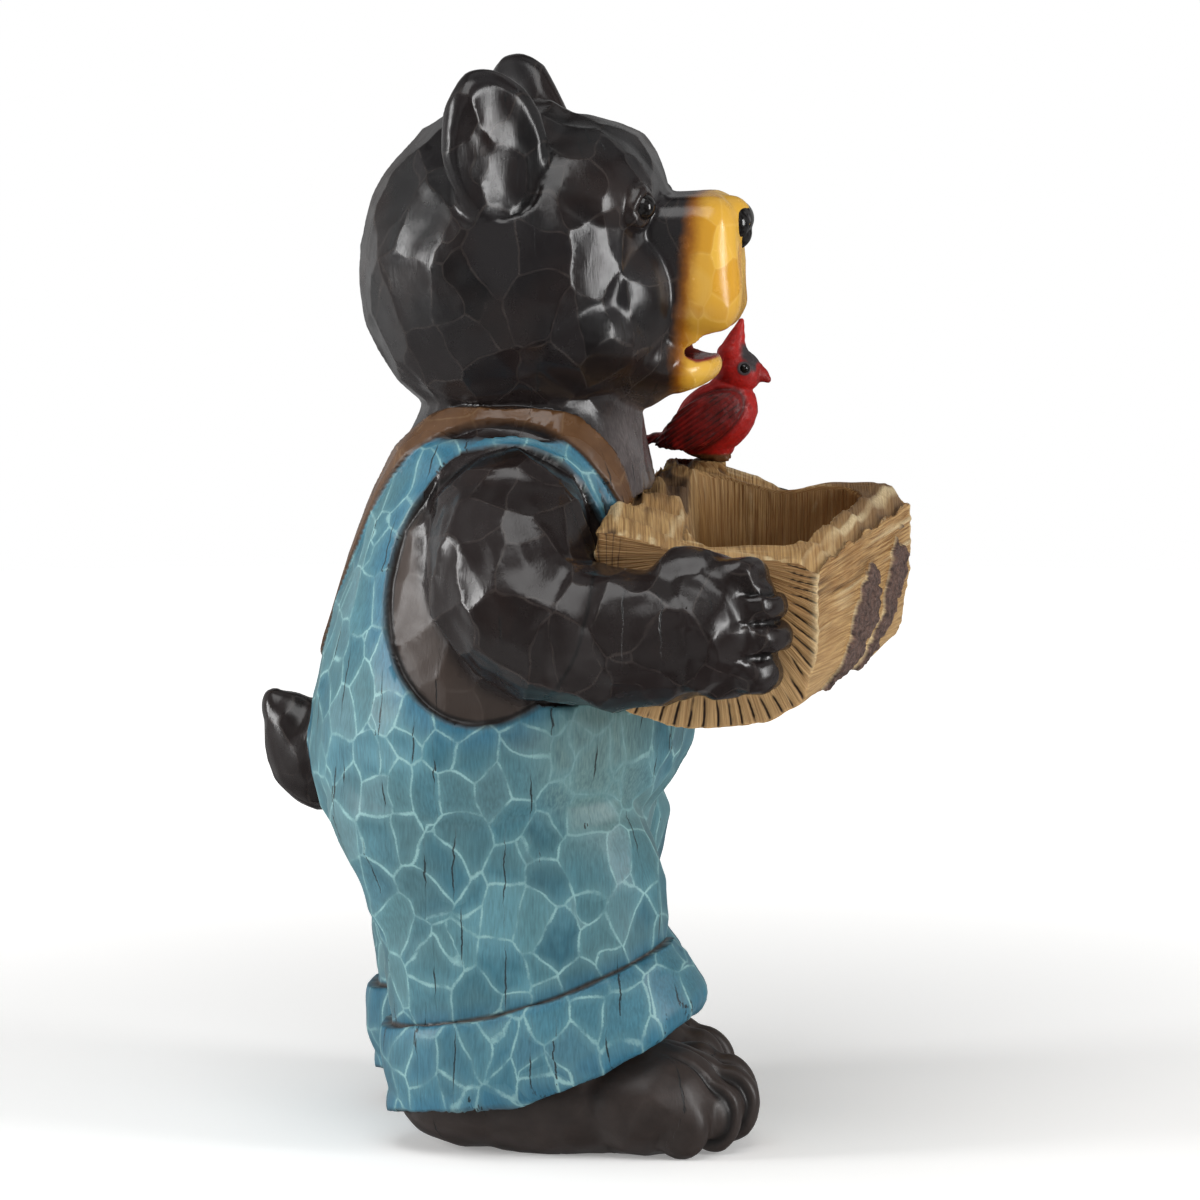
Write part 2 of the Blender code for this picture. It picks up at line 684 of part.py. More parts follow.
def bird_place(x, y, z):
    """A point of the bird: from its perch, facing the same way as the bear."""
    return (PERCH_X + x * BIRD_SHARE, PERCH_Y + y * BIRD_SHARE, PERCH_TOP + PERCH_GAP + z * BIRD_SHARE)


def build_bird():
    def lump(centre, radii, turn=(0, 0, 0)):
        return ball(bird_place(*centre), tuple(BIRD_SHARE * r for r in radii), turn, 3)

    def thread(rows):
        return limb([(*bird_place(*row[:3]), row[3] * BIRD_SHARE) for row in rows], 4)

    parts = [
        lump((0, -4, 24), (17.5, 27, 20), (-38, 0, 0)), lump((0, -12, 33), (14.5, 15, 17), (-20, 0, 0)),
        lump((0, -17, 51), (12.5, 14, 13)), lump((0, -2, 8), (11, 13, 9)), lump((0, 13, 16), (11, 17, 9), (-24, 0, 0)),
        block(bird_place(0, 27, 13), tuple(BIRD_SHARE * r for r in (7.0, 13, 2.6)), BIRD_SHARE * 2.2, (-12, 0, 0))]
    parts += thread([(0, -14, 60, 9.5), (0, -15, 67, 6.8), (0, -17, 74, 4.2), (0, -19, 80.4, 1.6)])
    parts += thread([(0, -26, 51, 6.0), (0, -31, 49.5, 3.8), (0, -34, 48.2, 1.8)])
    for side in (-1, 1):
        parts.append(lump((side * 14.5, 2, 24), (5.5, 25, 13), (-32, 0, side * -8)))
        parts.append(lump((side * 9.5, 16, 16), (4.5, 16, 6), (-26, 0, side * -12)))
        parts.append(lump((side * 10.8, -22, 54), (2.2, 2.2, 2.2)))
        parts += thread([(side * 5, -3, 7, 3.0), (side * 6, -5, 2.0, 3.0), (side * 6.5, -10, 1.6, 2.6)])
    bird = skinned(joined(parts), BIRD_GRAIN, 3)
    bird = thinned(bird, BIRD_TRIANGLES)
    under = block((PERCH_X, PERCH_Y, PERCH_TOP + PERCH_GAP - 0.05), (0.1, 0.1, 0.05), 0.0005)
    return cut(bird, under)


def paint(name, colour, roughness):
    material = bpy.data.materials.new(name)
    material.use_nodes = True
    shader = next(node for node in material.node_tree.nodes if node.type == "BSDF_PRINCIPLED")
    shader.inputs["Base Color"].default_value = (*colour, 1.0)
    shader.inputs["Roughness"].default_value = roughness
    material.diffuse_color = (*colour, 1.0)
    return material


def finished(item, name, material, home):
    """Names a form, gives it its paint and leaves it as clean triangles in its collection."""
    bm = welded(item)
    bmesh.ops.translate(bm, vec=(0.0, CENTRING, 0.0), verts=bm.verts)
    mesh = bpy.data.meshes.new(name)
    bm.to_mesh(mesh)
    bm.free()
    mesh.materials.append(material)
    made = bpy.data.objects.new(name, mesh)
    home.objects.link(made)
    bpy.data.objects.remove(item, do_unlink=True)
    return made


def main():
    clear_scene()
    home = bpy.data.collections.new("bear_bird_bath")
    bpy.context.scene.collection.children.link(home)
    log, seat = build_log()
    finished(build_bear(seat), "bear", paint("bear paint", (0.035, 0.03, 0.03), 0.4), home)
    finished(log, "log_bowl", paint("log paint", (0.42, 0.27, 0.12), 0.7), home)
    finished(build_bird(), "cardinal", paint("bird paint", (0.42, 0.02, 0.02), 0.5), home)


main()
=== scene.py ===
"""Standing bear in overalls with a hollow log and a cardinal, cast in resin and painted by hand.

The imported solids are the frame. Each casting here stands for one of them: the same form, carved finer.
Lengths are in millimetres and become metres where a mesh is made. +Z is up, the bear faces -Y and its
right hand is on the -X side. Forms are laid out from the figure's own centre line, CENTRING behind Y = 0.
"""
import math
import bpy
import numpy as np
from mathutils import Matrix, Vector


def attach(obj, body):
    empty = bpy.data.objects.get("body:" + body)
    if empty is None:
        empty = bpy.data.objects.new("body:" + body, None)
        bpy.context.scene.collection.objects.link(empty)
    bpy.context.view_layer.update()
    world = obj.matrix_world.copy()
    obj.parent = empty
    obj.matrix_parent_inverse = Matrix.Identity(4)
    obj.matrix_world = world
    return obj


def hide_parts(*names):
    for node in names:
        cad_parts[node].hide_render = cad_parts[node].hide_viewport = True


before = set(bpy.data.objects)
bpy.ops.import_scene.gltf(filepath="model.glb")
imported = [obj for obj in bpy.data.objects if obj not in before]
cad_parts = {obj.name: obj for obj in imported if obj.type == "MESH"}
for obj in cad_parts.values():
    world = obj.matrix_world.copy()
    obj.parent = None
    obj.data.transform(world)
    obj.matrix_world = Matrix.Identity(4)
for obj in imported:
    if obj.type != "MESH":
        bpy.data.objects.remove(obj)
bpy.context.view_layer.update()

MM = 0.001
CENTRING = 3.5

# Skins: how finely each casting is worked, and the triangles it keeps.
BEAR_SKIN, BEAR_TRIANGLES = 1.6, 188000
LOG_SKIN, LOG_TRIANGLES = 1.15, 185000
BIRD_SKIN, BIRD_TRIANGLES = 0.6, 60000

# The carver's gouge: width of a chip on fur, cloth and muzzle, and how deep it bites there.
FUR_CHIP, FUR_CHIP_DEPTH = 27.0, 4.4
CLOTH_CHIP, CLOTH_CHIP_DEPTH = 21.0, 3.0
MUZZLE_CHIP, MUZZLE_CHIP_DEPTH = 15.0, 1.3
# Chips are stretched upright, and their edges bow: widths between bows, and the bow in chips.
CHIP_UPRIGHT = 0.75
BOW_WIDTH = 30.0
BOW = 0.55


# Forming

def deselect_all():
    bpy.ops.object.select_all(action="DESELECT")


def pick(items):
    """Selects these objects alone, the first one active."""
    deselect_all()
    for item in items:
        item.select_set(True)
    bpy.context.view_layer.objects.active = items[0]


def finish_with(item, kind, **settings):
    """Adds a modifier with its settings and applies it."""
    pick([item])
    modifier = item.modifiers.new(kind.lower(), kind)
    for name, value in settings.items():
        setattr(modifier, name, value)
    bpy.ops.object.modifier_apply(modifier=modifier.name)
    return item


def settle():
    """Puts the active object's place, turn and size into its mesh."""
    pick([bpy.context.object])
    bpy.ops.object.transform_apply(location=True, rotation=True, scale=True)
    return bpy.context.object


def ball(centre, radii, turn=(0.0, 0.0, 0.0), fineness=4):
    deselect_all()
    bpy.ops.mesh.primitive_ico_sphere_add(
        subdivisions=fineness, radius=1.0, location=[MM * v for v in centre],
        rotation=[math.radians(a) for a in turn], scale=[MM * r for r in radii])
    return settle()


def block(centre, halves, rounding, turn=(0.0, 0.0, 0.0)):
    deselect_all()
    bpy.ops.mesh.primitive_cube_add(
        size=2.0, location=[MM * v for v in centre], rotation=[math.radians(a) for a in turn],
        scale=[MM * h for h in halves])
    return finish_with(settle(), "BEVEL", width=MM * rounding, segments=6)


def mesh_object(name, points, faces):
    mesh = bpy.data.meshes.new(name)
    mesh.from_pydata([[MM * v for v in p] for p in points], [], faces)
    item = bpy.data.objects.new(name, mesh)
    bpy.context.scene.collection.objects.link(item)
    pick([item])
    bpy.ops.object.mode_set(mode="EDIT")
    bpy.ops.mesh.select_all(action="SELECT")
    bpy.ops.mesh.normals_make_consistent(inside=False)
    bpy.ops.object.mode_set(mode="OBJECT")
    return item


def loft(rings):
    """Closed skin through rings that have the same number of points."""
    count = len(rings[0])
    faces = [tuple(reversed(range(count))), tuple(range((len(rings) - 1) * count, len(rings) * count))]
    for low in range(0, (len(rings) - 1) * count, count):
        for k in range(count):
            n = (k + 1) % count
            faces.append((low + k, low + n, low + count + n, low + count + k))
    return mesh_object("loft", [p for row in rings for p in row], faces)


def ring(centre, rx, ry, slope=0.0, sag=0.0, power=2.0, count=64):
    """Level oval, or one tipped by a slope along Y whose two sides sag."""
    points = []
    for k in range(count):
        angle = 2.0 * math.pi * k / count
        c, s = math.cos(angle), math.sin(angle)
        x = rx * math.copysign(abs(c) ** (2.0 / power), c)
        y = ry * math.copysign(abs(s) ** (2.0 / power), s)
        points.append((centre[0] + x, centre[1] + y, centre[2] + slope * y - sag * c * c))
    return points


def smooth_run(points, steps):
    """Points on a smooth run through the given rows, ends included."""
    rows = [np.array(row, dtype=float) for row in points]
    rows = [2 * rows[0] - rows[1]] + rows + [2 * rows[-1] - rows[-2]]
    found = []
    for k in range(1, len(rows) - 2):
        a, b, c, d = rows[k - 1:k + 3]
        for step in range(steps):
            t = step / steps
            found.append(0.5 * (2 * b + (c - a) * t + (2 * a - 5 * b + 4 * c - d) * t ** 2
                                + (3 * b - a - 3 * c + d) * t ** 3))
    found.append(rows[-2])
    return found


def limb(stations, steps=8):
    """Tapered round limb through (x, y, z, radius) stations, with rounded ends."""
    run = smooth_run(stations, steps)
    curve = bpy.data.curves.new("limb", "CURVE")
    curve.dimensions = "3D"
    curve.bevel_depth = 1.0
    curve.bevel_resolution = 8
    curve.use_fill_caps = True
    line = curve.splines.new("POLY")
    line.points.add(len(run) - 1)
    for point, row in zip(line.points, run):
        point.co = (MM * row[0], MM * row[1], MM * row[2], 1.0)
        point.radius = MM * row[3]
    item = bpy.data.objects.new("limb", curve)
    bpy.context.scene.collection.objects.link(item)
    pick([item])
    bpy.ops.object.convert(target="MESH")
    return [item] + [ball(run[k][:3], (run[k][3],) * 3) for k in (0, -1)]


def joined(items):
    pick(items)
    bpy.ops.object.join()
    return bpy.context.object


def skinned(item, grain, rounds=0):
    """One even skin over joined forms, softened where they meet."""
    finish_with(item, "REMESH", mode="VOXEL", voxel_size=MM * grain)
    if rounds:
        finish_with(item, "SMOOTH", factor=0.5, iterations=rounds)
    return item


def cut(item, cutter, operation="DIFFERENCE"):
    finish_with(item, "BOOLEAN", operation=operation, solver="EXACT", object=cutter)
    bpy.data.objects.remove(cutter, do_unlink=True)
    return item


def thinned(item, triangles):
    """The same form on fewer triangles: flat chips give theirs up first."""
    finish_with(item, "TRIANGULATE")
    ratio = min(1.0, triangles / len(item.data.polygons))
    return finish_with(item, "DECIMATE", ratio=ratio, use_collapse_triangulate=True)


def read_points(item):
    """Points in millimetres and their normals."""
    count = len(item.data.vertices)
    points, normals = np.empty(3 * count), np.empty(3 * count)
    item.data.vertices.foreach_get("co", points)
    item.data.vertices.foreach_get("normal", normals)
    return points.reshape(-1, 3) / MM, normals.reshape(-1, 3)


def write_points(item, points):
    item.data.vertices.foreach_set("co", (MM * points).ravel())
    item.data.update()


def note(item, name, values):
    """Keeps a value or a place for each point, for the paint to read."""
    values = np.asarray(values, dtype=float)
    kind, field = ("FLOAT_VECTOR", "vector") if values.ndim == 2 else ("FLOAT", "value")
    item.data.attributes.new(name, kind, "POINT").data.foreach_set(field, values.ravel())


def smooth_step(value, low, high):
    t = np.clip((value - low) / (high - low), 0.0, 1.0)
    return t * t * (3.0 - 2.0 * t)


def hills(points, sizes, seed):
    """Smooth random heights from -1 to 1, with hills of the given width, depth and height."""
    place = points / np.asarray(sizes, dtype=float)
    base = np.floor(place).astype(np.int64)
    part = place - base
    part = part * part * (3.0 - 2.0 * part)
    total = np.zeros(len(points))
    for corner in range(8):
        step = np.array([(corner >> k) & 1 for k in range(3)])
        x, y, z = (base + step).T
        mixed = (x * 73856093 ^ y * 19349663 ^ z * 83492791 ^ seed * 49979687) & 0x7FFFFFFF
        mixed = ((mixed ^ (mixed >> 13)) * 1274126177) & 0x7FFFFFFF
        mixed = ((mixed ^ (mixed >> 15)) * 668265263) & 0x7FFFFFFF
        share = np.prod(np.where(step, part, 1.0 - part), axis=1)
        total += share * (mixed / 0x3FFFFFFF - 1.0)
    return total


def path_distance(points, path):
    """Shortest distance from each point to a run of straight segments."""
    best = np.full(len(points), 1e9)
    for a, b in zip(path, path[1:]):
        a = np.array(a, dtype=float)
        along = np.array(b) - a
        t = np.clip((points - a) @ along / (along @ along), 0.0, 1.0)
        best = np.minimum(best, np.linalg.norm(points - a - t[:, None] * along, axis=1))
    return best


def add(tree, kind, feeds=None, out=0, **settings):
    """Adds a node with its settings and links, and gives back one output, or the node when out is None."""
    node = tree.nodes.new(kind)
    for name, value in settings.items():
        setattr(node, name, value)
    for socket, value in (feeds or {}).items():
        if isinstance(value, bpy.types.NodeSocket):
            tree.links.new(value, node.inputs[socket])
        else:
            node.inputs[socket].default_value = value
    return node if out is None else node.outputs[out]


def chip_place(tree, rest, cell):
    """Where a point lies among chips of one width: the mesh and its paint share it, so their edges agree."""
    per_chip = 1.0 / (MM * cell)
    place = add(tree, "ShaderNodeVectorMath", {0: rest, 1: (per_chip, per_chip, CHIP_UPRIGHT * per_chip)},
                operation="MULTIPLY")
    bow = add(tree, "ShaderNodeTexNoise", {"Vector": rest, "Scale": 1.0 / (MM * BOW_WIDTH), "Detail": 1.0},
              "Color")
    return add(tree, "ShaderNodeVectorMath", {0: bow, 1: (BOW, BOW, BOW), 2: place}, operation="MULTIPLY_ADD")


def gouged(item, cell, depth, bites):
    """Chip-carved surface: flat-bottomed cells with ridges between them, deeper where bites is larger."""
    note(item, "bites", bites)
    tree = bpy.data.node_groups.new("gouge", "GeometryNodeTree")
    tree.interface.new_socket("Geometry", in_out="INPUT", socket_type="NodeSocketGeometry")
    tree.interface.new_socket("Geometry", in_out="OUTPUT", socket_type="NodeSocketGeometry")
    rest = add(tree, "GeometryNodeInputNamedAttribute", {"Name": "rest"}, data_type="FLOAT_VECTOR")
    cells = add(tree, "ShaderNodeTexVoronoi", {
        "Vector": chip_place(tree, rest, cell), "Scale": 1.0, "Randomness": 0.85}, "Distance")
    square = add(tree, "ShaderNodeMath", {0: cells, 1: 2.0}, operation="POWER")
    height = add(tree, "ShaderNodeMath", {0: square, 1: MM * depth, 2: -0.25 * MM * depth},
                 operation="MULTIPLY_ADD")
    bites = add(tree, "GeometryNodeInputNamedAttribute", {"Name": "bites"}, data_type="FLOAT")
    height = add(tree, "ShaderNodeMath", {0: height, 1: bites}, operation="MULTIPLY")
    normal = add(tree, "GeometryNodeInputNormal")
    offset = add(tree, "ShaderNodeVectorMath", {0: normal, "Scale": height}, operation="SCALE")
    start = add(tree, "NodeGroupInput")
    moved = add(tree, "GeometryNodeSetPosition", {"Geometry": start, "Offset": offset})
    add(tree, "NodeGroupOutput", {0: moved}, None)
    finish_with(item, "NODES", node_group=tree)
    bpy.data.node_groups.remove(tree)
    item.data.attributes.remove(item.data.attributes["bites"])
    return item


# The log

LOG_LENGTH = 262.0
LOG_WALL = 15.0
LOG_END_WALL = 26.0
LOG_BOTTOM = 248.0
LOG_FLOOR = 22.0


def log_share(x):
    """0 at the bear's right hand, 1 at its left hand."""
    return np.clip(np.asarray(x) / LOG_LENGTH + 0.5, 0.0, 1.0)


def log_middle(x):
    return -88.0 - 25.0 * log_share(x)


def log_half_depth(x):
    return 61.0 + 8.0 * log_share(x)


def log_rim(x, y):
    """Height of the torn rim: it rises to the back and to the left hand, and has a notch."""
    s = log_share(x)
    back = (y - log_middle(x)) / log_half_depth(x)
    height = 345.0 + 10.0 * s + (16.0 - 4.0 * s) * smooth_step(back, 0.05, 0.92)
    height = height - 8.0 * smooth_step(-s, -0.07, 0.0) * smooth_step(back, 0.2, 0.8)
    height = height - (6.0 + 6.0 * s) * smooth_step(-back, 0.8, 1.0)
    height = height - 3.0 * smooth_step(-s, -0.3, 0.0) * smooth_step(-back, -0.7, -0.2)
    height = height + 1.5 * np.sin(31.0 * s + 2.0 * back) + 0.6 * np.sin(67.0 * s - 5.0 * back)
    return height - 7.0 * np.exp(-((s - 0.97) / 0.06) ** 2 - ((back + 0.05) / 0.18) ** 2)


def log_section(x, count, power=3.3):
    """Closed section of the solid log at one place along it."""
    middle = float(log_middle(x))
    half = float(log_half_depth(x))
    shoulder = 316.0
    points = []
    for k in range(count + 1):
        angle = math.pi * k / count
        c, s = math.cos(angle), math.sin(angle)
        wave = 1.0 + 0.012 * math.sin(7.0 * angle + 0.025 * x) + 0.009 * math.sin(13.0 * angle - 0.04 * x)
        y = middle - half * wave * math.copysign(abs(c) ** (2.0 / power), c)
        z = shoulder - (shoulder - LOG_BOTTOM) * wave * abs(s) ** (2.0 / power)
        points.append((x, y, z))
    for k in range(1, 5):
        y = middle + half
        points.append((x, y, shoulder + (float(log_rim(x, y)) - shoulder) * k / 5.0))
    across = count // 2
    for k in range(across + 1):
        y = middle + half * (1.0 - 2.0 * k / across)
        points.append((x, y, float(log_rim(x, y))))
    for k in range(4, 0, -1):
        y = middle - half
        points.append((x, y, shoulder + (float(log_rim(x, y)) - shoulder) * k / 5.0))
    return points


def solid_log(stations=80, count=80):
    return loft([log_section(float(x), count) for x in np.linspace(-0.5, 0.5, stations) * LOG_LENGTH])


def basin_back(x):
    """The hollow's back edge: a torn shelf lies behind it, wider at the right hand."""
    return -70.0 + 20.0 * (log_share(x) - 0.5)


def basin():
    floor = LOG_BOTTOM + LOG_FLOOR
    levels = (
        (0.0, 0.50, 0.0), (1.5, 0.68, 0.0), (5.0, 0.80, 0.0), (12.0, 0.89, 0.0), (26.0, 0.95, 0.0),
        (55.0, 0.985, 0.0), (67.0, 1.0, 1.0), (79.0, 1.0, 6.0), (92.0, 1.01, 14.0), (150.0, 1.02, 40.0))
    rings = []
    for rise, spread, flare in levels:
        row = []
        for x, y, z in ring((0.0, 0.0, floor + rise), 1.0, 1.0, power=4.6, count=96):
            place = x * spread * (0.5 * LOG_LENGTH - LOG_END_WALL)
            front = float(log_middle(place) - log_half_depth(place)) + LOG_WALL
            back = float(basin_back(place) + flare * (1.0 - 0.8 * log_share(place)))
            row.append((place, 0.5 * (front + back) + 0.5 * y * spread * (back - front), z))
        rings.append(row)
    return loft(rings)


# The perch: a snapped twig on the rim of the end at the bear's left hand.
PERCH_X = 0.5 * LOG_LENGTH - 0.5 * LOG_END_WALL
PERCH_Y = float(log_middle(PERCH_X) + 0.66 * log_half_depth(PERCH_X))
PERCH_TOP = 367.0

# The middle that the cuts on the two ends spread from.
END_CENTRE = (-88.0, 342.0)


def carve_log():
    """Hollowed log: hatched ends, split grain along its length, a torn rim and scabs of bark."""
    log = solid_log()
    twig = loft([ring((PERCH_X, PERCH_Y, z), r, r, count=32)
                 for z, r in ((330.0, 13.0), (350.0, 12.5), (358.0, 10.5), (367.0, 10.0))])
    log = cut(cut(log, basin()), twig, "UNION")
    log = skinned(log, LOG_SKIN, 2)
    points, normals = read_points(log)
    x, y, z = points.T
    middle, half = log_middle(x), log_half_depth(x)
    rim = log_rim(x, y)
    end_gap = 0.5 * LOG_LENGTH - np.abs(x)
    front_gap = y - (middle - half)
    back_gap = (middle + half) - y
    back_edge = basin_back(x)
    # How far inside the hollow's edge a point is, seen from above.
    pit = np.minimum(np.minimum(end_gap - LOG_END_WALL, front_gap - LOG_WALL), back_edge - y)
    inside = smooth_step(pit, -2.0, 1.0) * smooth_step(rim - z, 1.0, 4.0)
    # The slope from the shelf down into the hollow.
    behind = y - back_edge
    slope = smooth_step(behind, -2.0, 1.0) * smooth_step(end_gap, 16.0, 22.0) * (z > rim - 34.0)
    slope = slope * smooth_step(np.abs(normals[:, 1]) + normals[:, 2], 0.5, 0.9)
    slope = slope * smooth_step(-behind, -17.0, -14.0)
    top = smooth_step(normals[:, 2], 0.35, 0.75) * smooth_step(z - rim, -5.0, -2.0) * (1.0 - inside)
    top = np.maximum(top, slope)
    inside = inside * (1.0 - slope)
    end = smooth_step(np.abs(normals[:, 0]), 0.6, 0.9) * (1.0 - inside) * (1.0 - top)
    side = (1.0 - inside) * (1.0 - top) * (1.0 - end)
    radius = np.hypot(y - END_CENTRE[0], z - END_CENTRE[1])
    angle = np.arctan2(z - END_CENTRE[1], y - END_CENTRE[0])
    # Saw-like slits on the ends: wide at the edge, fine further in.
    outer = np.minimum(np.minimum(front_gap, back_gap), z - LOG_BOTTOM)
    upright = smooth_step(y - middle, 0.0, 20.0) * smooth_step(z - rim, -26.0, -18.0)
    slit_wave = 80.0 * angle + 3.0 * hills(points, (30.0, 16.0, 16.0), 3)
    # Under the rim at the back corner they stand upright, shallow and close together.
    slit_wave = np.where(upright > 0.5, 1.5 * y + 3.5 * hills(points, (20.0, 8.0, 12.0), 19), slit_wave)
    reach = smooth_step(-outer, -19.0, -12.0 + 5.0 * hills(points, (9.0, 7.0, 7.0), 4))
    slit_depth = (1.0 - 0.40 * (upright > 0.5)) * reach
    slit_depth = slit_depth * smooth_step(hills(points, (9.0, 6.0, 6.0), 22), -0.8, -0.2)
    slits = smooth_step(np.sin(slit_wave), 0.6, 1.0) * slit_depth
    fine = hills(np.column_stack((x * 0.0 + np.sign(x) * 9.0, angle * 45.0, radius / 26.0)),
                 (1.0, 1.0, 1.0), 5)
    end_cut = -1.3 * slits + 0.28 * fine
    # Split grain along the length, on the front, the underside and the back.
    around = np.arctan2(z - 316.0, y - middle) * 70.0
    along = np.column_stack((x, around, around * 0.0))
    grain = 0.60 * hills(along, (60.0, 2.6, 1.0), 6) + 0.55 * hills(along, (110.0, 6.0, 1.0), 7)
    grain = grain - 0.7 * smooth_step(hills(along, (70.0, 3.0, 1.0), 8), 0.5, 0.9)
    grain = grain * (0.55 + 0.9 * smooth_step(z, 285.0, 330.0))
    # Torn wood on the rim: splinters that follow the rim's run, and long tears on the shelf.
    lip = np.minimum(end_gap, np.minimum(front_gap, back_gap))
    shelf = smooth_step(y - back_edge, 2.0, 8.0)
    frontal = smooth_step(-(front_gap - LOG_WALL - 3.0), 0.0, 4.0)
    endwise = (1.0 - shelf) * (1.0 - frontal)
    # Splinters lie along the front rim and the shelf, and along the end walls on the ends.
    lengthwise = np.column_stack((x, behind + 0.04 * x, y * 0.0))
    ledgewise = np.column_stack((x, front_gap, y * 0.0))
    crosswise = np.column_stack((y, x, x * 0.0))
    splinter = shelf * (1.2 * hills(lengthwise, (50.0, 4.6, 1.0), 9)
                        + 0.5 * hills(lengthwise, (24.0, 2.4, 1.0), 10))
    splinter += endwise * (0.8 * hills(crosswise, (26.0, 5.0, 1.0), 9)
                           + 0.4 * hills(crosswise, (10.0, 2.6, 1.0), 10))
    # The front rim is layered: long ledges that step down to its outer edge.
    ledge = 1.3 * hills(ledgewise, (90.0, 3.6, 1.0), 20) + 0.5 * hills(ledgewise, (45.0, 2.3, 1.0), 10)
    splinter += frontal * ledge
    tear = -3.4 * smooth_step(hills(lengthwise, (44.0, 7.5, 1.0), 11), 0.22, 0.55) * shelf
    # The lip is frayed: small teeth at its outer edge, and it rolls down over it.
    teeth = (1.0 - 0.8 * frontal) * hills(points, (4.5, 4.5, 50.0), 12) * smooth_step(-lip, -7.0, -1.0)
    roll = 2.2 * smooth_step(-lip, -4.5, 0.0) + 2.8 * frontal * smooth_step(-front_gap, -11.0, -1.0)
    # Upright strokes of the gouge inside the hollow.
    wall = np.arctan2(y - (back_edge - 40.0), x * 0.45) * 60.0
    stroke = 0.45 * hills(np.column_stack((wall, z, z * 0.0)), (4.0, 60.0, 1.0), 13)
    # Beaded ridge where the front meets the end at the bear's right hand.
    corner = np.exp(-((end_gap / 2.6) ** 2 + (np.maximum(front_gap, 0.0) / 3.2) ** 2)) * (z < rim - 1.0)
    bead = corner * (0.8 + 0.9 * hills(points, (9.0, 9.0, 3.2), 14))
    relief = end * end_cut + side * grain + inside * stroke + bead
    lift = top * (splinter + tear + teeth)
    # Two scabs of bark on the front.
    across = x / (0.5 * LOG_LENGTH)
    wobble = 0.26 * hills(points, (16.0, 16.0, 12.0), 15) + 0.15 * hills(points, (5.0, 5.0, 4.0), 16)
    lean = 0.006 * (z - 290.0)
    scab_a = 1.0 - np.hypot((across - lean + 0.06) / 0.25, (z - 286.0) / 33.0) + wobble
    scab_b = 1.0 - np.hypot((across - lean - 0.52) / 0.17, (z - 297.0) / 33.0) + wobble
    bark = np.maximum(scab_a, scab_b) * (middle - y > 0.7 * half)
    crust = smooth_step(bark, 0.0, 0.07)
    flakes = 1.1 * hills(points, (5.0, 5.0, 4.0), 17) + 0.8 * hills(points, (2.6, 2.6, 2.4), 18)
    relief = relief * (1.0 - crust) + crust * (3.4 + flakes)
    moved = points + normals * relief[:, None]
    moved[:, 2] += lift - top * roll
    write_points(log, moved)
    note(log, "rest", MM * points)
    note(log, "relief", relief + lift)
    note(log, "bark", 10.0 * bark)
    note(log, "inside", inside)
    note(log, "top", top)
    note(log, "end", end)
    note(log, "slit_wave", slit_wave)
    note(log, "slit_depth", slit_depth * end)
    note(log, "corner", corner)
    return thinned(log, LOG_TRIANGLES)


# The bear

CLOTH_STEP = 3.5
CUFF_STEP = 4.5
STRAP_STEP = 2.5
STRAP_WIDTH = 21.0

# Torso: height, back, front and half-width.
TORSO = (
    (138, 96, -30, 60), (150, 112, -36, 84), (166, 126, -40, 100), (188, 138, -44, 112), (204, 143, -56, 118),
    (222, 145, -65, 122), (245, 142, -68, 123), (275, 135, -66, 121), (310, 124, -59, 116),
    (340, 114, -52, 110),
    (365, 105, -46, 103), (385, 97, -42, 93), (398, 89, -40, 82), (412, 82, -38, 71), (430, 78, -34, 61))

# One leg: height, back, front, distance of its middle from the centre plane and half-width.
LEG = (
    (212, 128, -34, 54, 56), (188, 127, -40, 57, 55), (172, 121, -49, 59, 54), (150, 109, -55, 60, 52),
    (125, 98, -56, 61, 50), (100, 94, -54, 61, 50), (70, 90, -50, 61, 49), (45, 84, -46, 61, 46))
LEG_MIDDLE = 61.0
LEFT_LEG_BACK = 24.0

# Toes of one foot: distance from the centre plane, depth, height of the middle and radius.
TOES = ((38, -91, 26, 16.5), (58, -94, 25, 16), (77, -87, 22, 15), (94, -71, 19, 14))

# Folded-up trouser hem: edge heights as depth runs from back to front.
HEM_TOP = ((126, 61), (103, 65), (72, 72), (29, 81), (-2, 91), (-39, 107), (-61, 119), (-90, 130))
HEM_BOTTOM = ((118, 13), (93, 19), (72, 26), (47, 31), (16, 38), (-9, 47), (-40, 63), (-62, 72), (-80, 87),
              (-96, 96))

EAR_TURN = 52.0
EYE = (53.0, -47.5, 525.5)
ARM_LINE = ((94, 23, 350), (113, 21, 334), (129, 9, 311), (137, -16, 300), (150, -110, 304))
STRAP_LINE = (
    (2, 135, 276), (14, 126, 305), (30, 114, 338), (44, 101, 368), (56, 82, 392), (63, 52, 405),
    (66, 25, 407), (68, -5, 400), (68, -28, 382), (66, -42, 362), (62, -50, 340))


# Heights of the gaps between the fingers.
FINGER_GAPS = (326.0, 309.5, 290.5)

# The mouth: middle of the cut and how far it tips, and the height that the cloth ends at under the jaw.
MOUTH = (0.0, -72.0, 446.0)
MOUTH_TILT = -8.0
CLOTH_TOP = 398.0

# The ear: middle on the left side, and the broad ball whose face leaves its dish.
EAR = (79.0, 34.0, 558.0)
EAR_SCOOP = (140, 140, 206)


def torso():
    return loft([ring((0, 0.5 * (back + front), z), half, 0.5 * (back - front), power=2.2)
                 for z, back, front, half in TORSO])


def leg_shift(side, z):
    """The left leg stands a little behind the right one."""
    return float(LEFT_LEG_BACK * smooth_step(-z, -190.0, -110.0)) if side > 0 else 0.0


def leg(side):
    return loft([ring((side * middle, 0.5 * (back + front) + leg_shift(side, z), z), half,
                      0.5 * (back - front), power=2.3) for z, back, front, middle, half in LEG])


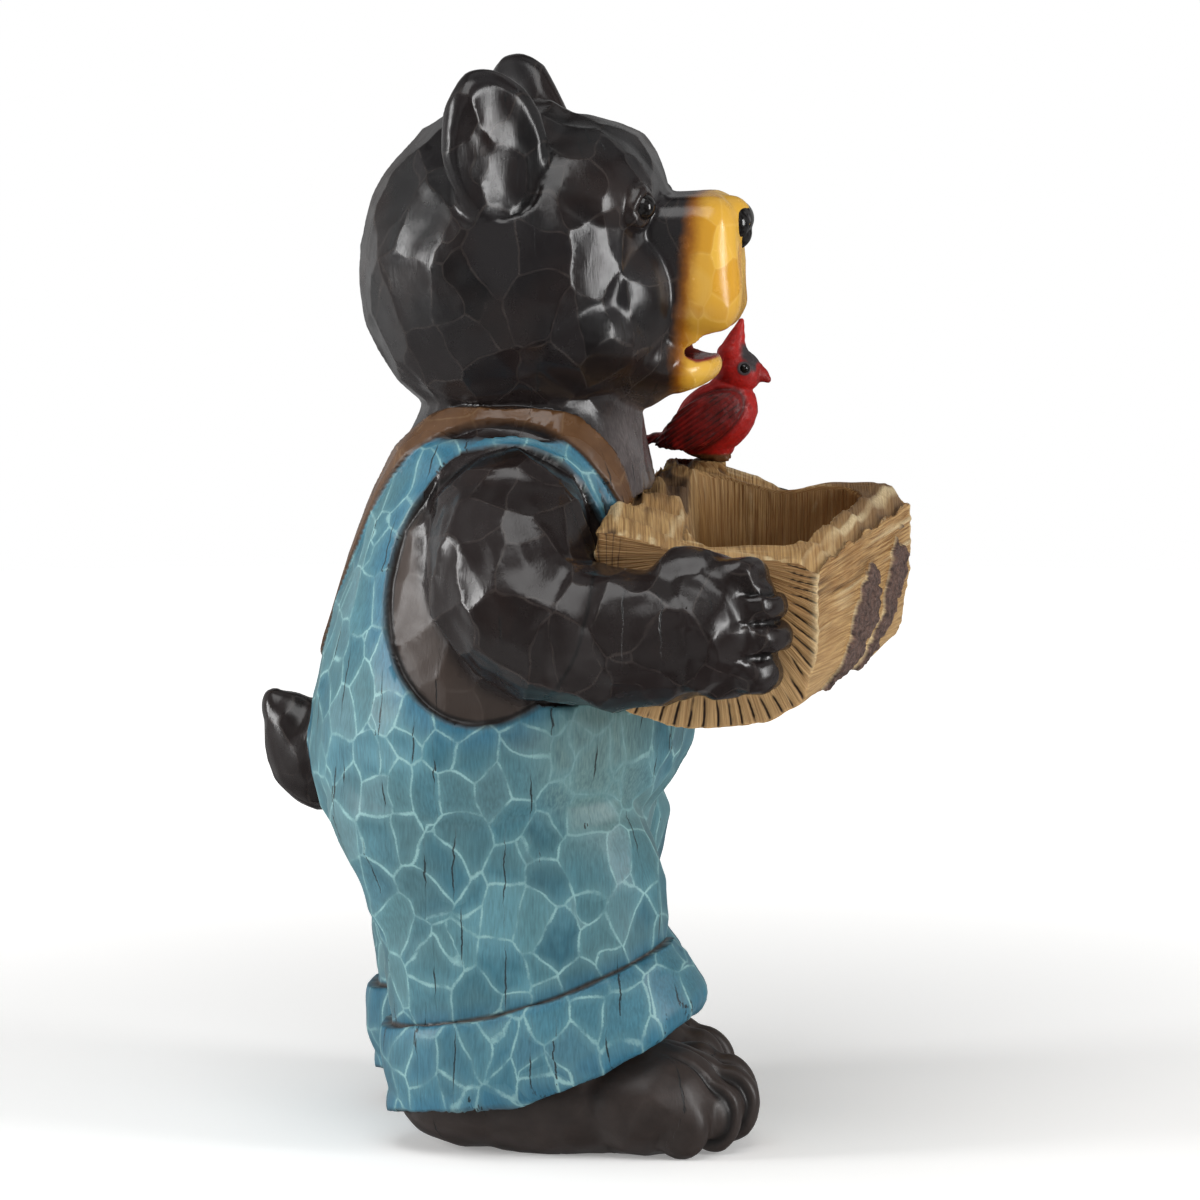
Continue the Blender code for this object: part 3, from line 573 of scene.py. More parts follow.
def cuff(side):
    shift = leg_shift(side, 0.0)
    rows = (
        (20, 92, 50, 73, -0.33, 9), (18, 86, 52, 76, -0.33, 9), (12, 70, 54, 79, -0.36, 10),
        (6, 58, 55, 80, -0.39, 11), (5, 54, 54, 79, -0.39, 11), (5, 53, 42, 64, -0.39, 6))
    return loft([ring((side * LEG_MIDDLE, y + shift, z), rx, ry, slope, sag, 2.3)
                 for y, z, rx, ry, slope, sag in rows])


def foot(side):
    shift = leg_shift(side, 0.0)
    parts = [
        ball((side * 62, 48 + shift, 23), (40, 42, 24), (4, 0, 0)),
        ball((side * 64, 0 + shift, 27), (43, 72, 33)),
        ball((side * 67, -47 + shift, 30), (45, 47, 33))]
    for middle, y, z, r in TOES:
        parts.append(ball((side * middle, y + shift, z), (r * 0.82, r * 1.15, r * 1.42)))
        parts.append(ball((side * middle, y + 20 + shift, z + 12), (r * 0.85, r * 1.3, r * 1.1)))
    return parts


def arm(side):
    """Upper arm, elbow, forearm and a hand whose fingers lie on the end of the log."""
    reach = side * (0.5 * LOG_LENGTH + 20.0)
    forward = float(log_middle(reach)) + 88.0
    parts = limb([
        (side * 94, 23, 350, 44), (side * 113, 21, 334, 47), (side * 129, 9, 311, 45.5),
        (side * 137, -16, 300, 41),
        (reach * 0.99, -52 + 0.5 * forward, 299, 37.5), (reach, -84 + forward, 303, 35)])
    parts.append(ball((reach, -97 + forward, 305), (25, 27, 40)))
    for y, z, length in ((-111, 334, 17), (-121, 319, 18), (-123, 300, 18), (-120, 281, 17)):
        tip = y - 1 + forward
        parts += limb([
            (reach + side * 4, tip + length * 1.4, z * 0.8 + 61, 12), (reach + side * 5, tip + 4, z, 11.5),
            (reach - side * 8, tip - 2, z - 1, 9.5)], 4)
    parts.append(ball((reach, -74 + forward, 333), (15, 21, 13), (-25, 0, 0)))
    return parts


def head():
    parts = [
        ball((0, 32, 488), (99, 86, 94)), ball((0, 28, 438), (80, 68, 42)), ball((0, 0, 528), (80, 54, 46)),
        ball((0, 0, 456), (86, 60, 46)), ball((0, -28, 474), (66, 38, 48)), ball((0, -30, 440), (50, 40, 30))]
    for side in (-1, 1):
        parts.append(ball((side * 48, -40, 525), (11, 9, 13)))
    return parts


def muzzle():
    return [
        block((0, -52, 490), (37, 44, 39), 17, (-3, 0, 0)), ball((0, -42, 461), (37, 46, 24), (14, 0, 0)),
        ball((0, -88, 516), (19, 14, 13)), ball((0, -60, 431), (31, 25, 13), (-12, 0, 0))]


def ear_form(side, radii, outward=0.0, drop=0.0, swing=0.0):
    """Oval that leans and faces as the ear does, set outward from its middle and swung to the side."""
    turn = math.radians(side * (EAR_TURN + swing))
    middle = (side * EAR[0] + outward * math.sin(turn), EAR[1] - outward * math.cos(turn), EAR[2] - drop)
    return ball(middle, radii, (-6, side * 8, side * (EAR_TURN + swing)))


def ear_scoop(side):
    """Very broad ball whose face leaves the ear's shallow dish, deepest along its back rim."""
    return ear_form(side, EAR_SCOOP, 147.0, 3.0, 7.0)


def ear(side):
    """Rounded blade with a broad shallow dish in its outward face, on a root."""
    blade = cut(ear_form(side, (32, 17, 45)), ear_scoop(side))
    return [blade, ball((side * 66, 42, 526), (22, 18, 28))]


def ear_pocket(side):
    """What is cut from the head where it would stand up through the ear's dish."""
    return cut(ear_scoop(side), ear_form(side, (29, 26, 42)), "INTERSECT")


# Tail: middle, radii and lean of its three swellings, from root to tip.
TAIL = (((0, 141, 210), (25, 30, 32), -10), ((0, 156, 217), (20, 18, 28), -12),
        ((0, 165, 230), (12, 9, 16), -22))


def tail():
    return [ball(middle, radii, (lean, 0, 0)) for middle, radii, lean in TAIL]


def tail_gap(points):
    """How far outside the tail a point is, negative inside."""
    gap = np.full(len(points), 1e9)
    for middle, radii, lean in TAIL:
        own = (points - np.array(middle)) @ np.array(Matrix.Rotation(math.radians(lean), 3, "X"))
        gap = np.minimum(gap, (np.linalg.norm(own / np.array(radii), axis=1) - 1.0) * min(radii))
    return gap


def at_height(value, rows):
    return np.interp(value, [row[0] for row in reversed(rows)], [row[1] for row in reversed(rows)])


def garment(points):
    """Distances in from the edges of the overalls, the straps and the turned-up hems, negative outside."""
    x, y, z = points.T
    near = np.abs(x)
    shift = np.where(x > 0, LEFT_LEG_BACK, 0.0)
    hem_top = at_height(y - shift, HEM_TOP)
    hem_bottom = at_height(y - shift, HEM_BOTTOM)
    armhole = 60.0 * (np.hypot((y - 30.0 + 0.12 * (z - 320.0)) / 60.0, (z - 320.0) / 74.0) - 1.0)
    hole = np.where(near > 62.0, armhole, 60.0)
    line_back = 276.0 + 2.05 * near
    line_front = np.where(near < 58.0, 352.0, 352.0 + 3.0 * (near - 58.0))
    front = smooth_step(-y, -35.0, 5.0)
    line = np.minimum(line_back * (1.0 - front) + line_front * front, CLOTH_TOP)
    overalls = np.minimum(np.minimum(hole, 0.5 * (line - z)), z - hem_bottom)
    overalls = np.minimum(overalls, tail_gap(points) - 1.5)
    mirrored = np.column_stack((near, y, z))
    straps = 0.5 * STRAP_WIDTH - path_distance(mirrored, STRAP_LINE)
    hems = np.where(z < 135.0, np.minimum(hem_top - z, z - hem_bottom), -50.0)
    return overalls, straps, hems, armhole


def carve_bear():
    """The figure: soft forms, then the garment's steps, the face and the gouge marks."""
    parts = [torso()]
    for side in (-1, 1):
        parts += [leg(side), cuff(side)] + foot(side) + arm(side) + ear(side)
    parts += head() + muzzle() + tail()
    bear = skinned(joined(parts), 2.4, 1)
    seat = solid_log(24, 40)
    seat_points, seat_normals = read_points(seat)
    write_points(seat, seat_points + 0.5 * seat_normals)
    mouth = block(MOUTH, (24, 34, 7.5), 7, (MOUTH_TILT, 0, 0))
    bear = cut(bear, joined([mouth, seat, ear_pocket(-1), ear_pocket(1)]))
    bear = skinned(bear, BEAR_SKIN, 7)
    points, normals = read_points(bear)
    x, y, z = points.T
    near = np.abs(x)
    mirrored = np.column_stack((near, y, z))
    overalls, straps, hems, armhole = garment(points)
    arm_gap = path_distance(mirrored, ARM_LINE)
    in_arm = smooth_step(-arm_gap, -53.0, -49.0)
    arm_only = smooth_step(-arm_gap, -58.0, -50.0) * (near > 60.0)
    # Whatever lies outside the trunk above the hips belongs to an arm.
    heights, backs, fronts, halves = (np.array(column, float) for column in zip(*TORSO))
    depth = y - np.interp(z, heights, 0.5 * (backs + fronts))
    depth = depth / np.interp(z, heights, 0.5 * (backs - fronts))
    outside = np.abs(depth) ** 2.2 + (near / np.interp(z, heights, halves)) ** 2.2
    in_arm = np.where((outside > 1.16) & (z > 250.0) & (z < 345.0) & (near > 70.0), 1.0, in_arm)
    # Over the shoulder a band of cloth shows between the strap and the arm.
    shoulder = np.where(z > 342.0, np.minimum(straps + 15.0, near - 64.0), -3.0)
    overalls = np.where(in_arm > 0.5, np.minimum(np.maximum(overalls, -3.0) - 6.0, -3.0), overalls)
    overalls = np.maximum(overalls, np.where(in_arm > 0.5, shoulder, -30.0))
    straps = np.where(((in_arm > 0.5) & (straps < 0.0)) | (z > 425.0), -9.0, straps)
    cloth = smooth_step(overalls, -0.3, 1.2)
    band = smooth_step(straps, -0.3, 1.0)
    hem = smooth_step(hems, -0.3, 1.3)
    relief = CLOTH_STEP * np.maximum(cloth, band) + STRAP_STEP * band + CUFF_STEP * hem
    # A tuck where the cloth meets the straps and the hems.
    relief -= 1.0 * np.exp(-(hems / 1.6) ** 2) * (hems < 0.6) * cloth
    # Eyelids: an almond socket with a raised rim.
    eye = mirrored - np.array(EYE)
    across = eye @ np.array((0.76, 0.65, 0.0))
    up = eye[:, 2] + 0.25 * across
    almond = np.hypot(across / 9.0, up / (8.0 - 0.03 * across ** 2 * (np.abs(across) < 9.5)))
    close = np.linalg.norm(eye, axis=1) < 24.0
    lids = 0.9 * np.exp(-((almond - 1.22) / 0.24) ** 2) - 3.0 * smooth_step(-almond, -1.05, -0.7)
    relief += np.where(close, lids, 0.0)
    # Creases between the fingers, and between the toes and back over the foot.
    shift = np.where(x > 0, LEFT_LEG_BACK, 0.0)
    foot_y = y - shift
    creases = np.zeros(len(points))
    for a, b in zip(TOES, TOES[1:]):
        between = 0.5 * (a[0] + b[0])
        crease = np.exp(-((near - between) / 2.4) ** 2) * smooth_step(-foot_y, 54.0, 76.0) * (z < 70.0)
        creases = np.maximum(creases, crease * (1.0 - hem))
    for between in FINGER_GAPS:
        tip = smooth_step(-y + np.where(x > 0, -25.0, 0.0), 104.0, 118.0)
        crease = np.exp(-((z - between) / 2.0) ** 2) * tip
        creases = np.maximum(creases, crease * (near > 126.0) * (z < 345.0))
    relief -= 2.8 * creases
    note(bear, "creases", creases)
    note(bear, "rest", MM * points)
    gold = np.where(z > 405.0, -66.0 - y - 0.10 * (z - 490.0), -20.0)
    tilt = math.radians(MOUTH_TILT)
    mouth_y = (y - MOUTH[1]) * math.cos(tilt) + (z - MOUTH[2]) * math.sin(tilt)
    mouth_z = -(y - MOUTH[1]) * math.sin(tilt) + (z - MOUTH[2]) * math.cos(tilt)
    in_mouth = np.minimum(9.2 - np.abs(mouth_z), np.minimum(24.6 - near, mouth_y + 36.0))
    in_mouth = np.where(y < -34.0, in_mouth, -20.0)
    feet = smooth_step(-z, -92.0, -80.0) * smooth_step(-overalls, -0.5, 0.5)
    recess = smooth_step(-armhole, -1.0, 1.0) * (1.0 - arm_only) * smooth_step(near, 60.0, 64.0)
    note(bear, "cloth", np.clip(overalls, -30.0, 30.0))
    note(bear, "strap", np.clip(straps, -20.0, 20.0))
    note(bear, "hem", np.clip(hems, -30.0, 30.0))
    note(bear, "gold", np.clip(gold, -20.0, 40.0))
    note(bear, "mouth", np.clip(in_mouth, -20.0, 20.0))
    note(bear, "armhole", np.clip(armhole, -30.0, 30.0))
    note(bear, "feet", feet)
    note(bear, "recess", recess)
    write_points(bear, points + normals * relief[:, None])
    # Bites: deep on the arms, shallow on the toes and fingers, slight on the face and muzzle.
    small = smooth_step(-z, -70.0, -50.0) * (1.0 - hem)
    small = np.maximum(small, smooth_step(-y, 70.0, 80.0) * smooth_step(near, 120.0, 130.0))
    face = smooth_step(-y, 40.0, 60.0) * (z > 405.0)
    bites = 1.0 + 0.6 * arm_only + 0.15 * (z > 420.0)
    bites = bites * (1.0 - 0.6 * small) * (1.0 - 0.92 * face) * (1.0 + 0.3 * recess)
    bites = bites * (1.0 - 0.6 * smooth_step(straps, -1.0, 1.0))
    on_cloth = np.maximum(cloth, hem) * (1.0 - band)
    bear = gouged(bear, FUR_CHIP, FUR_CHIP_DEPTH, bites * (1.0 - on_cloth))
    bear = gouged(bear, CLOTH_CHIP, CLOTH_CHIP_DEPTH, on_cloth)
    fingers = small * (z > 200.0)
    cuts = np.maximum(np.clip(smooth_step(gold, -2.0, 4.0) + 0.9 * small, 0.0, 1.0), 2.4 * fingers)
    bear = gouged(bear, MUZZLE_CHIP, MUZZLE_CHIP_DEPTH, cuts)
    bear = thinned(bear, BEAR_TRIANGLES)
    points, normals = read_points(bear)
    points[:, 2] = np.maximum(points[:, 2], 0.0)
    write_points(bear, points)
    return bear


def bear_eyes():
    return joined([ball((side * (EYE[0] - 2.6), EYE[1] + 2.6, EYE[2]), (7.4, 7.4, 7.4), fineness=5)
                   for side in (-1, 1)])


def bear_nose():
    """Soft three-cornered nose pad with two nostrils."""
    pad = joined([ball((0, -90, 515.5), (17.5, 12.5, 11.5), (-8, 0, 0), 5),
                  ball((0, -91, 508), (9, 10.5, 10), fineness=5)]
                 + [ball((side * 9.5, -91, 514), (8.5, 10.5, 9), fineness=5) for side in (-1, 1)])
    pad = skinned(pad, 0.7, 6)
    holes = [ball((side * 9.0, -103.5, 512.0), (3.8, 4.6, 2.8), (0, side * 25, 0)) for side in (-1, 1)]
    return skinned(cut(pad, joined(holes)), 0.7, 3)


# The cardinal

def bird_point(x, y, z):
    return (PERCH_X + x, PERCH_Y + y, PERCH_TOP + 0.3 + z)


def carve_bird():
    def lump(centre, radii, turn=(0, 0, 0)):
        return ball(bird_point(*centre), radii, turn)

    def thread(rows):
        return limb([(*bird_point(*row[:3]), row[3]) for row in rows], 5)

    parts = [
        lump((0, -4, 24), (17.5, 27, 20), (-38, 0, 0)), lump((0, -12, 33), (14.5, 15, 17), (-20, 0, 0)),
        lump((0, -17, 51), (12.5, 14, 13)), lump((0, -2, 8), (11, 13, 9)),
        lump((0, 13, 16), (11, 17, 9), (-24, 0, 0)),
        block(bird_point(0, 27, 13), (7.0, 13, 2.6), 2.2, (-12, 0, 0))]
    parts += thread([(0, -14, 60, 9.5), (0, -15, 67, 6.8), (0, -17, 74, 4.2), (0, -19, 80.4, 1.6)])
    parts += thread([(0, -26, 51, 6.4), (0, -31, 49.0, 4.6), (0, -34, 47.0, 2.4)])
    for side in (-1, 1):
        parts.append(lump((side * 14.5, 2, 24), (5.5, 25, 13), (-32, 0, side * -8)))
        parts.append(lump((side * 9.5, 16, 16), (4.5, 16, 6), (-26, 0, side * -12)))
        parts += thread([(side * 5, -3, 7, 3.0), (side * 6, -5, 2.0, 3.0), (side * 6.5, -10, 1.6, 2.6)])
    bird = skinned(joined(parts), BIRD_SKIN, 6)
    points, normals = read_points(bird)
    own = points - np.array(bird_point(0, 0, 0))
    x, y, z = own.T
    near = np.abs(x)
    # The wing lies along a line that falls to the tail; feathers are scales on it, long at the back.
    slope = math.radians(-34.0)
    along = y * math.cos(slope) + (z - 26.0) * math.sin(slope)
    above = -y * math.sin(slope) + (z - 26.0) * math.cos(slope)
    outline = 1.0 - np.hypot((along - 5.0) / 29.0, (above + 1.0) / 14.0)
    wing = smooth_step(outline, 0.0, 0.12) * smooth_step(near, 7.0, 11.0)
    tail = smooth_step(y, 19.0, 25.0)
    edge = np.exp(-(outline / 0.07) ** 2) * smooth_step(near, 7.0, 11.0)
    quills = np.sin(above * 2.3 + 0.05 * along + 1.1 * hills(own, (8.0, 8.0, 8.0), 21))
    down = hills(np.column_stack((x, along, above)), (2.2, 5.0, 2.4), 22)
    eye_gap = np.linalg.norm(np.column_stack((near, y, z)) - np.array((10.8, -21.5, 54.0)), axis=1)
    relief = 0.35 * quills * np.maximum(wing * smooth_step(along, -4.0, 8.0), tail) + 0.32 * down - 0.7 * edge
    eyelid = 0.5 * np.exp(-((eye_gap - 3.4) / 0.9) ** 2) - 0.8 * (eye_gap < 2.6)
    relief += np.where(eye_gap < 7.0, eyelid, 0.0)
    write_points(bird, points + normals * relief[:, None])
    beak = smooth_step(-y, 27.5, 29.0) * smooth_step(-z, -58.0, -54.0)
    # Grey runs from the beak over the brow to the front of the crest, and round the eye.
    brow = smooth_step(8.0 - np.abs(np.hypot(y + 13.0, z - 50.0) - 15.5), 2.0, 6.0)
    brow = brow * smooth_step(-y, 17.0, 21.0) * smooth_step(z, 50.5, 53.5)
    brow = brow * (1.0 - smooth_step(z, 66.0, 72.0))
    round_eye = smooth_step(4.6 - np.hypot(y + 21.5, z - 54.0), 0.0, 1.2)
    mask = np.maximum(brow, round_eye) * (1.0 - beak)
    note(bird, "rest", MM * own)
    note(bird, "wing", np.clip(np.maximum(wing, tail), 0.0, 1.0))
    note(bird, "quills", quills)
    note(bird, "edge", edge)
    note(bird, "mask", mask)
    note(bird, "beak", beak)
    note(bird, "foot", smooth_step(-z, -5.0, -3.0))
    bird = thinned(bird, BIRD_TRIANGLES)
    points, normals = read_points(bird)
    points[:, 2] = np.maximum(points[:, 2], PERCH_TOP + 0.3)
    write_points(bird, points)
    return bird


def bird_eyes():
    return joined([ball(bird_point(side * 9.9, -21.5, 54.0), (2.9, 2.9, 2.9)) for side in (-1, 1)])


# Paint

def srgb(code):
    """Linear colour from an sRGB hex value."""
    values = [int(code[k:k + 2], 16) / 255.0 for k in (1, 3, 5)]
    return tuple(v / 12.92 if v <= 0.04045 else ((v + 0.055) / 1.055) ** 2.4 for v in values) + (1.0,)


def paint(name, roughness, ior=1.5):
    """A new material with its tree and its shader."""
    material = bpy.data.materials.new(name)
    material.use_nodes = True
    tree = material.node_tree
    shader = next(node for node in tree.nodes if node.type == "BSDF_PRINCIPLED")
    shader.inputs["Roughness"].default_value = roughness
    shader.inputs["IOR"].default_value = ior
    return material, tree, shader


def bear_paint():
    """Cast resin under hand-painted acrylic: black gloss fur whose flat chips mirror the studio, teal
    overalls dry-brushed pale on every ridge, a brown leather strap and a golden muzzle."""
    material, tree, shader = paint("hand_painted_resin_bear", 0.35, 1.47)
    rest = add(tree, "ShaderNodeAttribute", out="Vector", attribute_name="rest")
    part = {name: add(tree, "ShaderNodeAttribute", out="Fac", attribute_name=name)
            for name in ("cloth", "strap", "hem", "gold", "mouth", "armhole", "feet", "recess", "creases")}
    axes = add(tree, "ShaderNodeSeparateXYZ", {0: rest}, None)
    # Chips: the same cells that the gouge left in the mesh. A seam's distance is taken along the surface,
    # so a cell wall that lies flat under the paint draws no patch.
    facing = add(tree, "ShaderNodeNewGeometry", out="Normal")
    facing = add(tree, "ShaderNodeVectorMath", {0: facing, 1: (1.0, 1.0, 1.0 / CHIP_UPRIGHT)},
                 operation="MULTIPLY")
    facing = add(tree, "ShaderNodeVectorMath", {0: facing}, operation="NORMALIZE")
    found = {}
    for kind, cell in (("fur", FUR_CHIP), ("cloth", CLOTH_CHIP)):
        place = chip_place(tree, rest, cell)
        near = add(tree, "ShaderNodeTexVoronoi", {"Vector": place, "Scale": 1.0, "Randomness": 0.85}, None)
        next_to = add(tree, "ShaderNodeTexVoronoi", {"Vector": place, "Scale": 1.0, "Randomness": 0.85},
                      "Position", feature="F2")
        wall = add(tree, "ShaderNodeTexVoronoi", {"Vector": place, "Scale": 1.0, "Randomness": 0.85},
                   "Distance", feature="DISTANCE_TO_EDGE")
        between = add(tree, "ShaderNodeVectorMath", {0: next_to, 1: near.outputs["Position"]},
                      operation="SUBTRACT")
        between = add(tree, "ShaderNodeVectorMath", {0: between}, operation="NORMALIZE")
        slant = add(tree, "ShaderNodeVectorMath", {0: between, 1: facing}, "Value", operation="DOT_PRODUCT")
        slant = add(tree, "ShaderNodeMath", {0: slant, 1: 2.0}, operation="POWER")
        slant = add(tree, "ShaderNodeMath", {0: 1.02, 1: slant}, operation="SUBTRACT")
        slant = add(tree, "ShaderNodeMath", {0: slant}, operation="SQRT")
        found[kind] = (near.outputs["Color"],
                       add(tree, "ShaderNodeMath", {0: wall, 1: slant}, operation="DIVIDE"))
    fur_seams = found["fur"][1]
    fur_chance = add(tree, "ShaderNodeSeparateColor", {0: found["fur"][0]}, None)
    seams = found["cloth"][1]
    chance = add(tree, "ShaderNodeSeparateColor", {0: found["cloth"][0]}, None)
    # Brush strokes: bristles about 1 mm apart that run upright for 8 mm.
    bristle_place = add(tree, "ShaderNodeVectorMath", {0: rest, 1: (900.0, 900.0, 120.0)},
                        operation="MULTIPLY")
    bristle = add(tree, "ShaderNodeTexNoise", {"Vector": bristle_place, "Scale": 1.0, "Detail": 3.0})
    cloud = add(tree, "ShaderNodeTexNoise", {"Vector": rest, "Scale": 22.0, "Detail": 3.0})
    speck = add(tree, "ShaderNodeTexNoise", {"Vector": rest, "Scale": 1100.0, "Detail": 2.0})
    patchy = add(tree, "ShaderNodeTexNoise", {"Vector": rest, "Scale": 75.0, "Detail": 4.0, "Roughness": 0.6})
    # Ridges carry a dry-brushed line about 1.2 mm wide, broken where the brush skipped, and a soft halo.
    uneven = add(tree, "ShaderNodeMapRange", {0: speck, 1: 0.3, 2: 0.7, 3: -0.012, 4: 0.012})
    rough_seams = add(tree, "ShaderNodeMath", {0: seams, 1: uneven}, operation="ADD")
    line = add(tree, "ShaderNodeMapRange", {0: rough_seams, 1: 0.008, 2: 0.045, 3: 1.0, 4: 0.0},
               interpolation_type="SMOOTHSTEP")
    skip = add(tree, "ShaderNodeMapRange", {0: patchy, 1: 0.38, 2: 0.60, 3: 0.08, 4: 0.95})
    line = add(tree, "ShaderNodeMath", {0: line, 1: skip}, operation="MULTIPLY")
    halo = add(tree, "ShaderNodeMapRange", {0: seams, 1: 0.0, 2: 0.22, 3: 1.0, 4: 0.0},
               interpolation_type="SMOOTHSTEP")
    halo = add(tree, "ShaderNodeMath", {0: halo, 1: patchy}, operation="MULTIPLY")
    fur_line = add(tree, "ShaderNodeMapRange", {0: fur_seams, 1: 0.006, 2: 0.034, 3: 1.0, 4: 0.0},
                   interpolation_type="SMOOTHSTEP")
    fur_line = add(tree, "ShaderNodeMath", {0: fur_line, 1: skip}, operation="MULTIPLY")

    # Fur: near-black, browner in the hollows, with thin grey-brown edges.
    fur = add(tree, "ShaderNodeMix", {0: fur_chance.outputs[0], 6: srgb("#121112"), 7: srgb("#211e1f")}, 2,
              data_type="RGBA")
    low = add(tree, "ShaderNodeMapRange", {0: axes.outputs[2], 1: 0.47, 2: 0.40, 3: 0.0, 4: 0.4})
    warm = add(tree, "ShaderNodeMapRange", {0: cloud, 1: 0.45, 2: 0.70, 3: 0.0, 4: 0.6})
    warm = add(tree, "ShaderNodeMath", {0: warm, 1: low, 2: 0.0}, operation="MAXIMUM")
    fur = add(tree, "ShaderNodeMix", {0: warm, 6: fur, 7: srgb("#271c19")}, 2, data_type="RGBA")
    fur = add(tree, "ShaderNodeMix", {0: part["recess"], 6: fur, 7: srgb("#40352f")}, 2, data_type="RGBA")
    sole = add(tree, "ShaderNodeMix", {0: patchy, 6: srgb("#241d1a"), 7: srgb("#413632")}, 2,
               data_type="RGBA")
    fur = add(tree, "ShaderNodeMix", {0: part["feet"], 6: fur, 7: sole}, 2, data_type="RGBA")
    off_feet = add(tree, "ShaderNodeMapRange", {0: part["feet"], 1: 0.0, 2: 1.0, 3: 0.15, 4: 0.03})
    worn = add(tree, "ShaderNodeMath", {0: fur_line, 1: off_feet}, operation="MULTIPLY")
    fur = add(tree, "ShaderNodeMix", {0: worn, 6: fur, 7: srgb("#6a605a")}, 2, data_type="RGBA")
    # Painted shade: near-black in the creases between the fingers and between the toes.
    crease_shade = add(tree, "ShaderNodeMapRange", {0: part["creases"], 1: 0.3, 2: 0.9, 3: 0.0, 4: 0.85})
    fur = add(tree, "ShaderNodeMix", {0: crease_shade, 6: fur, 7: srgb("#0c0a0a")}, 2, data_type="RGBA")
    # Grey dry-brushing on the throat, between the strap and the jaw.
    throat = add(tree, "ShaderNodeMapRange", {0: axes.outputs[1], 1: -0.020, 2: -0.034, 3: 0.0, 4: 0.6})
    below = add(tree, "ShaderNodeMapRange", {0: axes.outputs[2], 1: 0.425, 2: 0.405})
    above = add(tree, "ShaderNodeMapRange", {0: axes.outputs[2], 1: 0.345, 2: 0.36})
    throat = add(tree, "ShaderNodeMath", {0: throat, 1: below}, operation="MULTIPLY")
    throat = add(tree, "ShaderNodeMath", {0: throat, 1: above}, operation="MULTIPLY")
    throat = add(tree, "ShaderNodeMath", {0: throat, 1: bristle}, operation="MULTIPLY")
    fur = add(tree, "ShaderNodeMix", {0: throat, 6: fur, 7: srgb("#938988")}, 2, data_type="RGBA")

    # Overalls: teal that varies from chip to chip and in clouds, bluer towards every edge, washed grey
    # at the hip.
    teal = add(tree, "ShaderNodeMix", {0: chance.outputs[0], 6: srgb("#33697a"), 7: srgb("#517d85")}, 2,
               data_type="RGBA")
    pale_chip = add(tree, "ShaderNodeMapRange", {0: chance.outputs[1], 1: 0.72, 2: 0.95, 3: 0.0, 4: 0.55})
    teal = add(tree, "ShaderNodeMix", {0: pale_chip, 6: teal, 7: srgb("#6d8d92")}, 2, data_type="RGBA")
    dark_chip = add(tree, "ShaderNodeMapRange", {0: chance.outputs[2], 1: 0.70, 2: 0.95, 3: 0.0, 4: 0.45})
    teal = add(tree, "ShaderNodeMix", {0: dark_chip, 6: teal, 7: srgb("#285261")}, 2, data_type="RGBA")
    greyed = add(tree, "ShaderNodeMapRange", {0: cloud, 1: 0.46, 2: 0.62, 3: 0.0, 4: 0.65})
    teal = add(tree, "ShaderNodeMix", {0: greyed, 6: teal, 7: srgb("#4b7279")}, 2, data_type="RGBA")
    paled = add(tree, "ShaderNodeMapRange", {0: cloud, 1: 0.46, 2: 0.32, 3: 0.0, 4: 0.55})
    teal = add(tree, "ShaderNodeMix", {0: paled, 6: teal, 7: srgb("#5f93a0")}, 2, data_type="RGBA")
    hem_in = add(tree, "ShaderNodeMapRange", {0: part["hem"], 1: -0.5, 2: 0.5})
    blue_hem = add(tree, "ShaderNodeMath", {0: hem_in, 1: 0.35}, operation="MULTIPLY")
    near_edge = add(tree, "ShaderNodeMapRange", {0: part["cloth"], 1: 17.0, 2: 2.0, 3: 0.0, 4: 0.75},
                    interpolation_type="SMOOTHSTEP")
    near_hem = add(tree, "ShaderNodeMath", {0: part["hem"]}, operation="ABSOLUTE")
    near_hem = add(tree, "ShaderNodeMapRange", {0: near_hem, 1: 14.0, 2: 2.0, 3: 0.0, 4: 0.6},
                   interpolation_type="SMOOTHSTEP")
    blue = add(tree, "ShaderNodeMath", {0: near_edge, 1: near_hem}, operation="MAXIMUM")
    blue = add(tree, "ShaderNodeMath", {0: blue, 1: blue_hem}, operation="MAXIMUM")
    teal = add(tree, "ShaderNodeMix", {0: blue, 6: teal, 7: srgb("#2a6985")}, 2, data_type="RGBA")
    wash_place = add(tree, "ShaderNodeVectorMath", {0: rest, 1: (0.0, 1.0, 1.0)}, operation="MULTIPLY")
    wash = add(tree, "ShaderNodeVectorMath", {0: wash_place, 1: (0.0, -0.020, 0.222)}, "Vector",
               operation="SUBTRACT")
    wash = add(tree, "ShaderNodeVectorMath", {0: wash, 1: (1.0, 1.0 / 0.034, 1.0 / 0.056)},
               operation="MULTIPLY")
    wash = add(tree, "ShaderNodeVectorMath", {0: wash}, "Value", operation="LENGTH")
    wash = add(tree, "ShaderNodeMapRange", {0: wash, 1: 1.15, 2: 0.45, 3: 0.0, 4: 1.0},
               interpolation_type="SMOOTHSTEP")
    faded = add(tree, "ShaderNodeMapRange", {0: bristle, 1: 0.30, 2: 0.70, 3: 0.45, 4: 0.95})
    faded = add(tree, "ShaderNodeMath", {0: faded, 1: wash}, operation="MULTIPLY")
    teal = add(tree, "ShaderNodeMix", {0: faded, 6: teal, 7: srgb("#62807f")}, 2, data_type="RGBA")
    stroke = add(tree, "ShaderNodeMapRange", {0: bristle, 1: 0.25, 2: 0.75, 3: -0.22, 4: 0.22})
    stroke = add(tree, "ShaderNodeMath", {0: stroke, 1: 1.0}, operation="ADD")
    teal = add(tree, "ShaderNodeVectorMath", {0: teal, "Scale": stroke}, operation="SCALE")
    bloom = add(tree, "ShaderNodeMath", {0: halo, 1: 0.60}, operation="MULTIPLY")
    teal = add(tree, "ShaderNodeMix", {0: bloom, 6: teal, 7: srgb("#6b989e")}, 2, data_type="RGBA")
